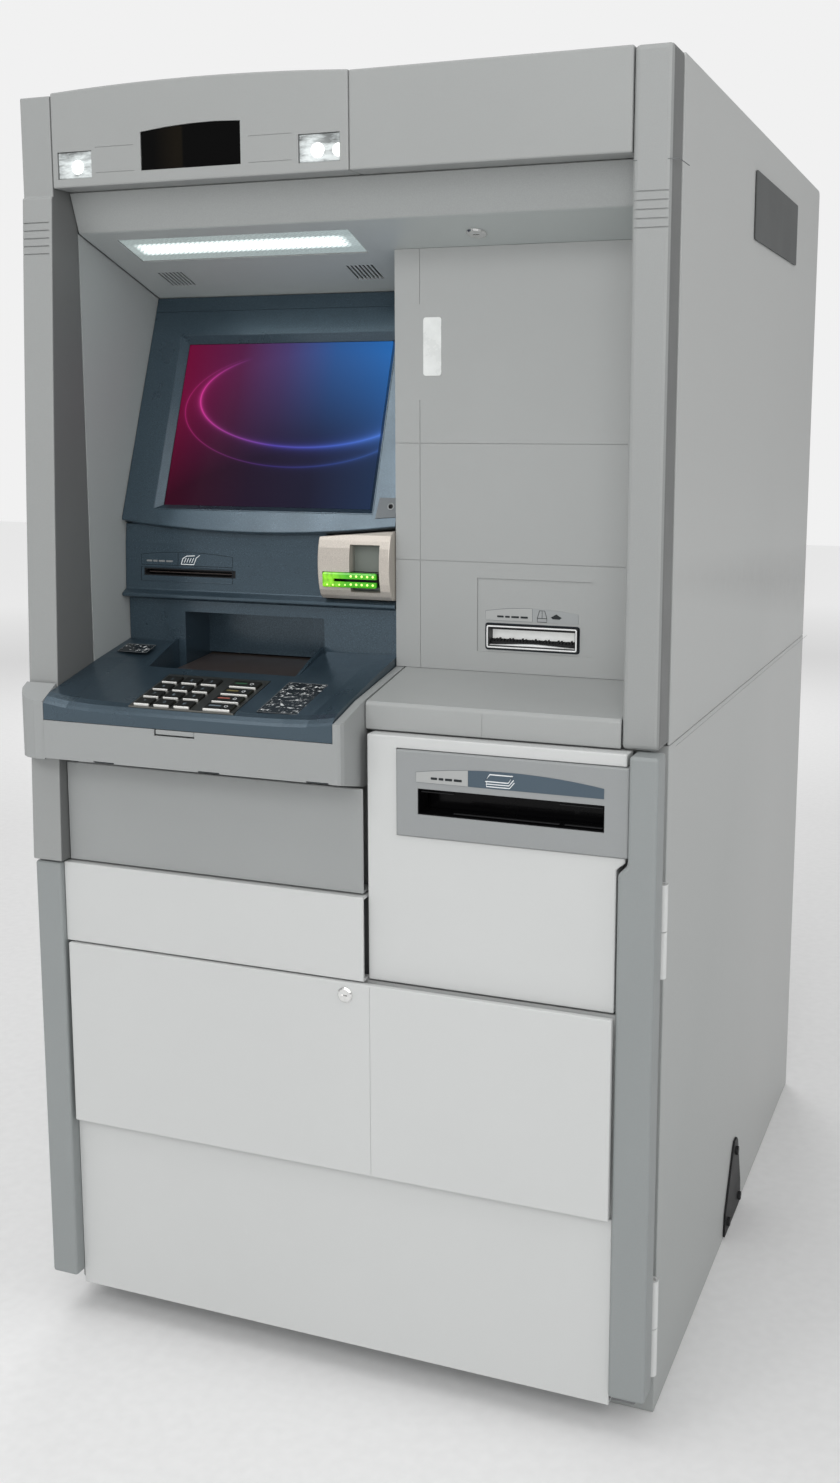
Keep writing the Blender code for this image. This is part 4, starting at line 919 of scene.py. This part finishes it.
def make_slot_label():
    """The slot on the card band: outlined arch with its sign, mouth, lips and ribs."""
    place = on_band()
    foot = BAND_FOOT[1]

    def top(x):
        return arched_top(x, -0.3402, -0.2004, 1.033 - foot, 1.0328 - foot, 0.0042)

    low = 1.0192 - foot
    rules = [ribbon(arched_piece(-0.3402, -0.2004, low, top, 12), 0.0006, 0.0, 0.0003, True),
             ribbon([(-0.2832, low), (-0.2832, top(-0.2832))], 0.0006, 0.0, 0.0003),
             ribbon(rounded(-0.3405, -0.2002, 0.9976 - foot, 1.016 - foot, 0.0006, 2), 0.0006,
                    0.0, 0.0003, True)]
    build("slot_rules", join(*rules), "groove", "fascia", place)
    page = [(-0.2785, 1.0212 - foot), (-0.259, 1.0212 - foot), (-0.2552, 1.03 - foot),
            (-0.25, 1.0338 - foot)]
    back = [(-0.2785, 1.0212 - foot), (-0.2755, 1.029 - foot), (-0.27, 1.0322 - foot),
            (-0.2575, 1.033 - foot)]
    lines = [ribbon(page, 0.001, 0.0, 0.0004), ribbon(back, 0.001, 0.0, 0.0004)]
    for i in range(4):
        x = -0.2735 + 0.0038 * i
        lines.append(ribbon([(x, 1.0238 - foot), (x + 0.003, 1.0298 - foot)], 0.0008, 0.0,
                            0.0004))
    build("slot_sign", join(*lines), "pale", "fascia", place)
    marks = bars(((-0.3318, 0.0085), (-0.3215, 0.0065), (-0.313, 0.0095), (-0.3015, 0.01)),
                 1.0234 - foot, 1.0258 - foot, 0.0, 0.0004)
    build("slot_mark", join(*marks), "grey_line", "fascia", place)
    outer = rounded(-0.3358, -0.1962, 1.0052 - foot, 1.0148 - foot, 0.0016, 3)
    inner = rounded(-0.335, -0.201, 1.0063 - foot, 1.0133 - foot, 0.0034, 3)
    build("slot_surround", tube(outer, inner, -0.012, -0.0004), "matte", "fascia", place,
          0.0003, 1)
    mouth = slab(rounded(-0.3352, -0.199, 1.0058 - foot, 1.014 - foot, 0.0016, 3), -0.0135,
                 -0.011)
    build("slot_mouth", mouth, "black", "fascia", place)
    lip = slab(rounded(-0.33, -0.202, 1.0094 - foot, 1.0104 - foot, 0.0004, 2), -0.0105,
               -0.003)
    build("slot_lip", lip, "shutter", "fascia", place, 0.0002, 1)
    ribs = [slab(rounded(-0.26, -0.201, 1.0174 - foot, 1.0186 - foot, 0.0005, 2), 0.0, 0.001),
            slab(rounded(-0.3395, -0.201, 0.9972 - foot, 0.9984 - foot, 0.0005, 2), 0.0, 0.001)]
    build("slot_ribs", join(*ribs), "blue", "fascia", place, 0.0004)


def make_receipt_detail():
    """The receipt label with its signs, a dark ring of painted shadow round the mouth, a bright
    rim and lip with a painted sheen, and the toothed brush.
    """
    place = on_front(PANEL_FACE + 0.0015)

    def top(x):
        return arched_top(x, 0.1578, 0.2775, 0.9791, 0.9793, 0.005)

    low, split = 0.9677, 0.2186
    left = arched_piece(0.1578, split, low, top, 6)
    rule = ribbon(left, 0.0005, 0.0, 0.0005, True)
    build("receipt_label_rule", rule, "grey_line", "fascia", place)
    build("receipt_label", slab(left, 0.0, 0.0004), "label_light", "fascia", place)
    right = slab(arched_piece(split + 0.0003, 0.2775, low, top, 8), 0.0, 0.0005)
    build("receipt_label_right", right, "label_cool", "fascia", place)
    marks = bars(((0.173, 0.0085), (0.1835, 0.006), (0.1915, 0.01), (0.2035, 0.0095)),
                 0.9716, 0.974, 0.0004, 0.0007)
    arrow = slab([(0.2424, 0.9744), (0.2453, 0.9724), (0.2538, 0.9724), (0.2564, 0.9744),
                  (0.2494, 0.9786)], 0.0005, 0.0008)
    page = ribbon([(0.2252, 0.9682), (0.2374, 0.9682), (0.2374, 0.973), (0.2346, 0.9822),
                   (0.228, 0.9822), (0.2252, 0.973)], 0.0006, 0.0005, 0.0008, True)
    fold = ribbon([(0.2252, 0.9728), (0.2374, 0.9728)], 0.0006, 0.0005, 0.0008)
    fall = ribbon([(0.2313, 0.9728), (0.2313, 0.9818)], 0.0004, 0.0005, 0.0008)
    build("receipt_signs", join(*marks, arrow, page, fold, fall), "ink", "fascia",
          place)
    # painted shadow: a dark ring round the rim standing in for the shade of the recess step
    ring = ribbon(rounded(0.1582, 0.2788, 0.9317, 0.9638, 0.0026, 4), 0.0014, 0.0, 0.0006, True)
    build("receipt_painted_shadow_ring", ring, "groove", "fascia", place)
    # the rim and the lip below carry the painted sheen of the rim finish
    rim = ribbon(rounded(0.1612, 0.2758, 0.9347, 0.9608, 0.0016, 4), 0.0018, 0.0, 0.001, True)
    build("receipt_rim", rim, "rim", "fascia", on_front(0.1203), 0.0004)
    # the chute plate's glow is painted light
    back = plate(0.1636, 0.2737, 0.944, 0.9553, 0.0, 0.001)
    build("receipt_chute", back, "chute", "fascia", on_front(0.1345))
    teeth = []
    x = 0.1645
    while x < 0.271:
        tall = 0.0046 + 0.001 * math.sin(x * 1900.0)
        teeth.append(slab([(x, 0.0), (x + 0.003, 0.0), (x + 0.0036, tall), (x + 0.0018, tall)],
                          0.0, 0.003))
        x += 0.0042
    bar = plate(0.164, 0.2735, -0.002, 0.0006, -0.003, 0.004)
    move = on_front(0.13) @ Matrix.Translation((0.0, 0.9405, 0.0))
    build("receipt_brush", join(bar, *teeth), "matte", "fascia", move)
    steps = 16
    crest = [(0.1636 + 0.11 * i / steps, 0.9376 + 0.0022 * math.sin(math.pi * i / steps) ** 2)
             for i in range(steps + 1)]
    lip = slab([(0.2736, 0.9372), (0.1636, 0.9372)][::-1] + crest[::-1], 0.0, 0.005)
    build("receipt_lip", lip, "rim", "fascia", on_front(0.1262), 0.0003, 1)


def make_guide_lamps():
    """Bright cores inside the two prongs of the reader's light guide."""
    dome = [(0.0015, 0.0), (0.0015, 0.0002), (0.001, 0.0005), (0.0, 0.0006)]
    bead = [(0.0011, 0.0), (0.0011, 0.0002), (0.0, 0.0005)]
    domes = [turned(dome, (-0.015 + 0.0076 * i, row), 12)
             for row in (1.0068, 1.0172) for i in range(5)]
    for spot in ((-0.048, 1.0058), (-0.04, 1.0056), (-0.031, 1.006), (-0.023, 1.0062)):
        domes.append(turned(bead, spot, 12))
    build("guide_lamps", join(*domes), "led", "fascia", on_front(0.1))


def make_speaker_backing():
    """The dark cloth seen through the two groups of speaker slots in the soffit."""
    for label, start in (("left", -0.3225), ("right", -0.047)):
        cloth = slab(rounded(start, start + 0.0396, -0.021, 0.021, 0.001, 2), 0.0, 0.0006)
        build(f"speaker_cloth_{label}", cloth, "matte", "fascia",
              on_soffit(0.178, 0.0034))


def make_tray_detail():
    """The latch tab in the tray's notch, and three dark marks along its lower edge that are
    painted shade of the notches there.
    """
    tab = slab(rounded(-0.2022, -0.1486, 0.8318, 0.8376, 0.0006, 2), 0.0, 0.007)
    build("tray_tab", tab, "lower", "fascia", on_front(-0.057), 0.0003, 1)
    # painted shade: dark plates where the notches under the tray's front edge fall in shade
    slots = [plate(x + 0.0004, x + 0.0296, 0.789, 0.7907, 0.0, 0.003)
             for x in (-0.293, -0.144, 0.002)]
    build("tray_notch_shades", join(*slots), "groove", "fascia", on_front(-0.06))


def make_side_seams():
    """The sealing strip in the joint between the cabinet and the safe on each side."""
    for label, x in (("right", 0.4173), ("left", -0.4169)):
        strip = plate(0.053, 1.066, *SIDE_SEAM, -0.0004, 0.0)
        build(f"side_seal_{label}", strip, "seal", "cabinet", on_side(x))


def make_cap_seams():
    """The dark line where the right pillar's cap meets its shaft."""
    front = plate(0.3675, 0.4165, *CAP_SEAM, -0.0002, 0.0004)
    build("cap_seam_front", front, "seam", "fascia", on_front(0.0006))
    flank = plate(0.001, 0.049, *CAP_SEAM, -0.0006, 0.0)
    build("cap_seam_flank", flank, "seam", "fascia", on_side(0.4172))


def make_vent_filters():
    """The filter mats behind the side and rear vents."""
    for label, x in (("right", 0.412), ("left", -0.412)):
        mat = slab(rounded(0.475, 0.825, 1.454, 1.544, 0.003, 2), -0.0008, 0.0008)
        build(f"vent_filter_{label}", mat, "filter", "cabinet", on_side(x))
    mat = slab(rounded(-0.31, 0.285, 1.412, 1.524, 0.003, 2), -0.0008, 0.0008)
    build("vent_filter_rear", mat, "filter", "cabinet", on_front(1.062))


def make_rear_screws():
    """Pan heads in the pockets of the upper rear service cover."""
    profile = [(0.0044, 0.0), (0.0044, 0.0006), (0.0032, 0.0012), (0.0012, 0.0013),
               (0.0, 0.0006)]
    heads = [turned(profile, (-x, z), 16) for x in (-0.35, 0.0, 0.35) for z in (0.9, 1.355)]
    back = on_front(1.0676) @ Matrix.Rotation(math.radians(180), 4, "Y")
    build("rear_screws_upper", join(*heads), "pin", "cabinet", back)


def make_indicator():
    """The white status light on the utility panel."""
    light = slab(rounded(0.0755, 0.0995, 1.265, 1.335, 0.0035), 0.0, 0.0008)
    build("status_light", light, "indicator", "fascia", on_front(PANEL_FACE), 0.0004)


def make_hinge_caps():
    """The small collar on top of each pin of the safe door."""
    profile = [(0.0034, 0.0), (0.0034, 0.001), (0.0024, 0.0016), (0.0, 0.0018)]
    for label, top in (("upper", 0.684), ("lower", 0.19)):
        build(f"hinge_cap_{label}", turned(profile, (0.0, 0.0), 16), "pin", "cabinet",
              tilted(*DOOR_PIVOT, top - 0.0016, 0.0))


def make_floor():
    """A plain pale floor that is not part of the object."""
    shape = bmesh.new()
    bmesh.ops.create_grid(shape, x_segments=2, y_segments=2, size=14.0)
    mesh = bpy.data.meshes.new("floor")
    shape.to_mesh(mesh)
    shape.free()
    mesh.materials.append(FINISH["floor"])
    floor = new_object("floor", mesh)
    floor.location = (0.0, 0.0, -0.0005)


# ---- light and camera ----
def area_light(name, spot, target, size, power):
    """A soft rectangular light aimed at a point."""
    light = bpy.data.lights.new(name, "AREA")
    light.shape = "RECTANGLE"
    light.size, light.size_y = size
    light.energy = power
    thing = new_object(name, light)
    thing.location = spot
    thing.rotation_euler = (Vector(target) - Vector(spot)).to_track_quat("-Z", "Y").to_euler()


def make_light():
    """Studio light: five soft sources and an even surround, seen brighter than it lights."""
    world = bpy.data.worlds.new("studio")
    bpy.context.scene.world = world
    world.use_nodes = True
    tree = world.node_tree
    back = tree.nodes["Background"]
    back.inputs["Color"].default_value = (1.0, 1.0, 1.0, 1.0)
    seen = tree.nodes.new("ShaderNodeLightPath")
    level = tree.nodes.new("ShaderNodeMapRange")
    level.inputs["To Min"].default_value = 0.46
    level.inputs["To Max"].default_value = 0.88
    tree.links.new(seen.outputs["Is Camera Ray"], level.inputs["Value"])
    tree.links.new(level.outputs[0], back.inputs["Strength"])
    bpy.context.scene.view_settings.view_transform = "Standard"
    area_light("front", (1.0, -4.4, 2.8), (0.0, 0.0, 0.9), (3.2, 2.6), 78.0)
    area_light("high", (-1.9, -4.3, 4.1), (0.0, -0.3, 1.1), (1.7, 1.5), 34.0)
    area_light("side", (4.2, -0.9, 2.2), (0.0, 0.0, 0.8), (2.4, 3.0), 34.0)
    area_light("top", (-0.5, -1.3, 4.4), (-0.1, -0.3, 1.0), (3.0, 3.0), 44.0)
    area_light("rear", (-1.8, 4.2, 2.6), (0.0, 0.2, 0.8), (2.6, 2.6), 60.0)


def make_camera():
    """The camera at the photograph's viewing angle."""
    azimuth, pitch, roll = (math.radians(angle) for angle in CAMERA_ANGLES)
    forward = Vector((-math.sin(azimuth) * math.cos(pitch), math.cos(azimuth) * math.cos(pitch),
                      math.sin(pitch)))
    right = Vector((math.cos(azimuth), math.sin(azimuth), 0.0))
    up = right.cross(forward)
    side = right * math.cos(roll) - up * math.sin(roll)
    top = right * math.sin(roll) + up * math.cos(roll)
    lens = bpy.data.cameras.new("camera")
    wide, tall = PICTURE
    lens.sensor_width = SENSOR
    lens.lens = SENSOR * FOCAL / tall
    lens.shift_x = -(OPTICAL_CENTRE[0] - wide / 2) / tall
    lens.shift_y = -(tall / 2 - OPTICAL_CENTRE[1]) / tall
    camera = new_object("camera", lens)
    turn = Matrix((side, top, -forward)).transposed().to_4x4()
    camera.matrix_world = Matrix.Translation(CAMERA_SPOT) @ turn
    bpy.context.scene.camera = camera


def main():
    """Finish the CAD nodes, add the detail and light it."""
    FINISH.update(make_finishes())
    make_camera()
    make_light()
    make_floor()
    dress_nodes()
    for make in (make_screen, make_lamps, make_key_marks, make_plates, make_deposit_label,
                 make_deposit_mouth, make_slot_label, make_receipt_detail, make_indicator,
                 make_guide_lamps, make_speaker_backing, make_cap_seams, make_tray_detail,
                 make_side_seams, make_rear_screws, make_vent_filters, make_hinge_caps):
        make()


main()
bpy.context.view_layer.update()
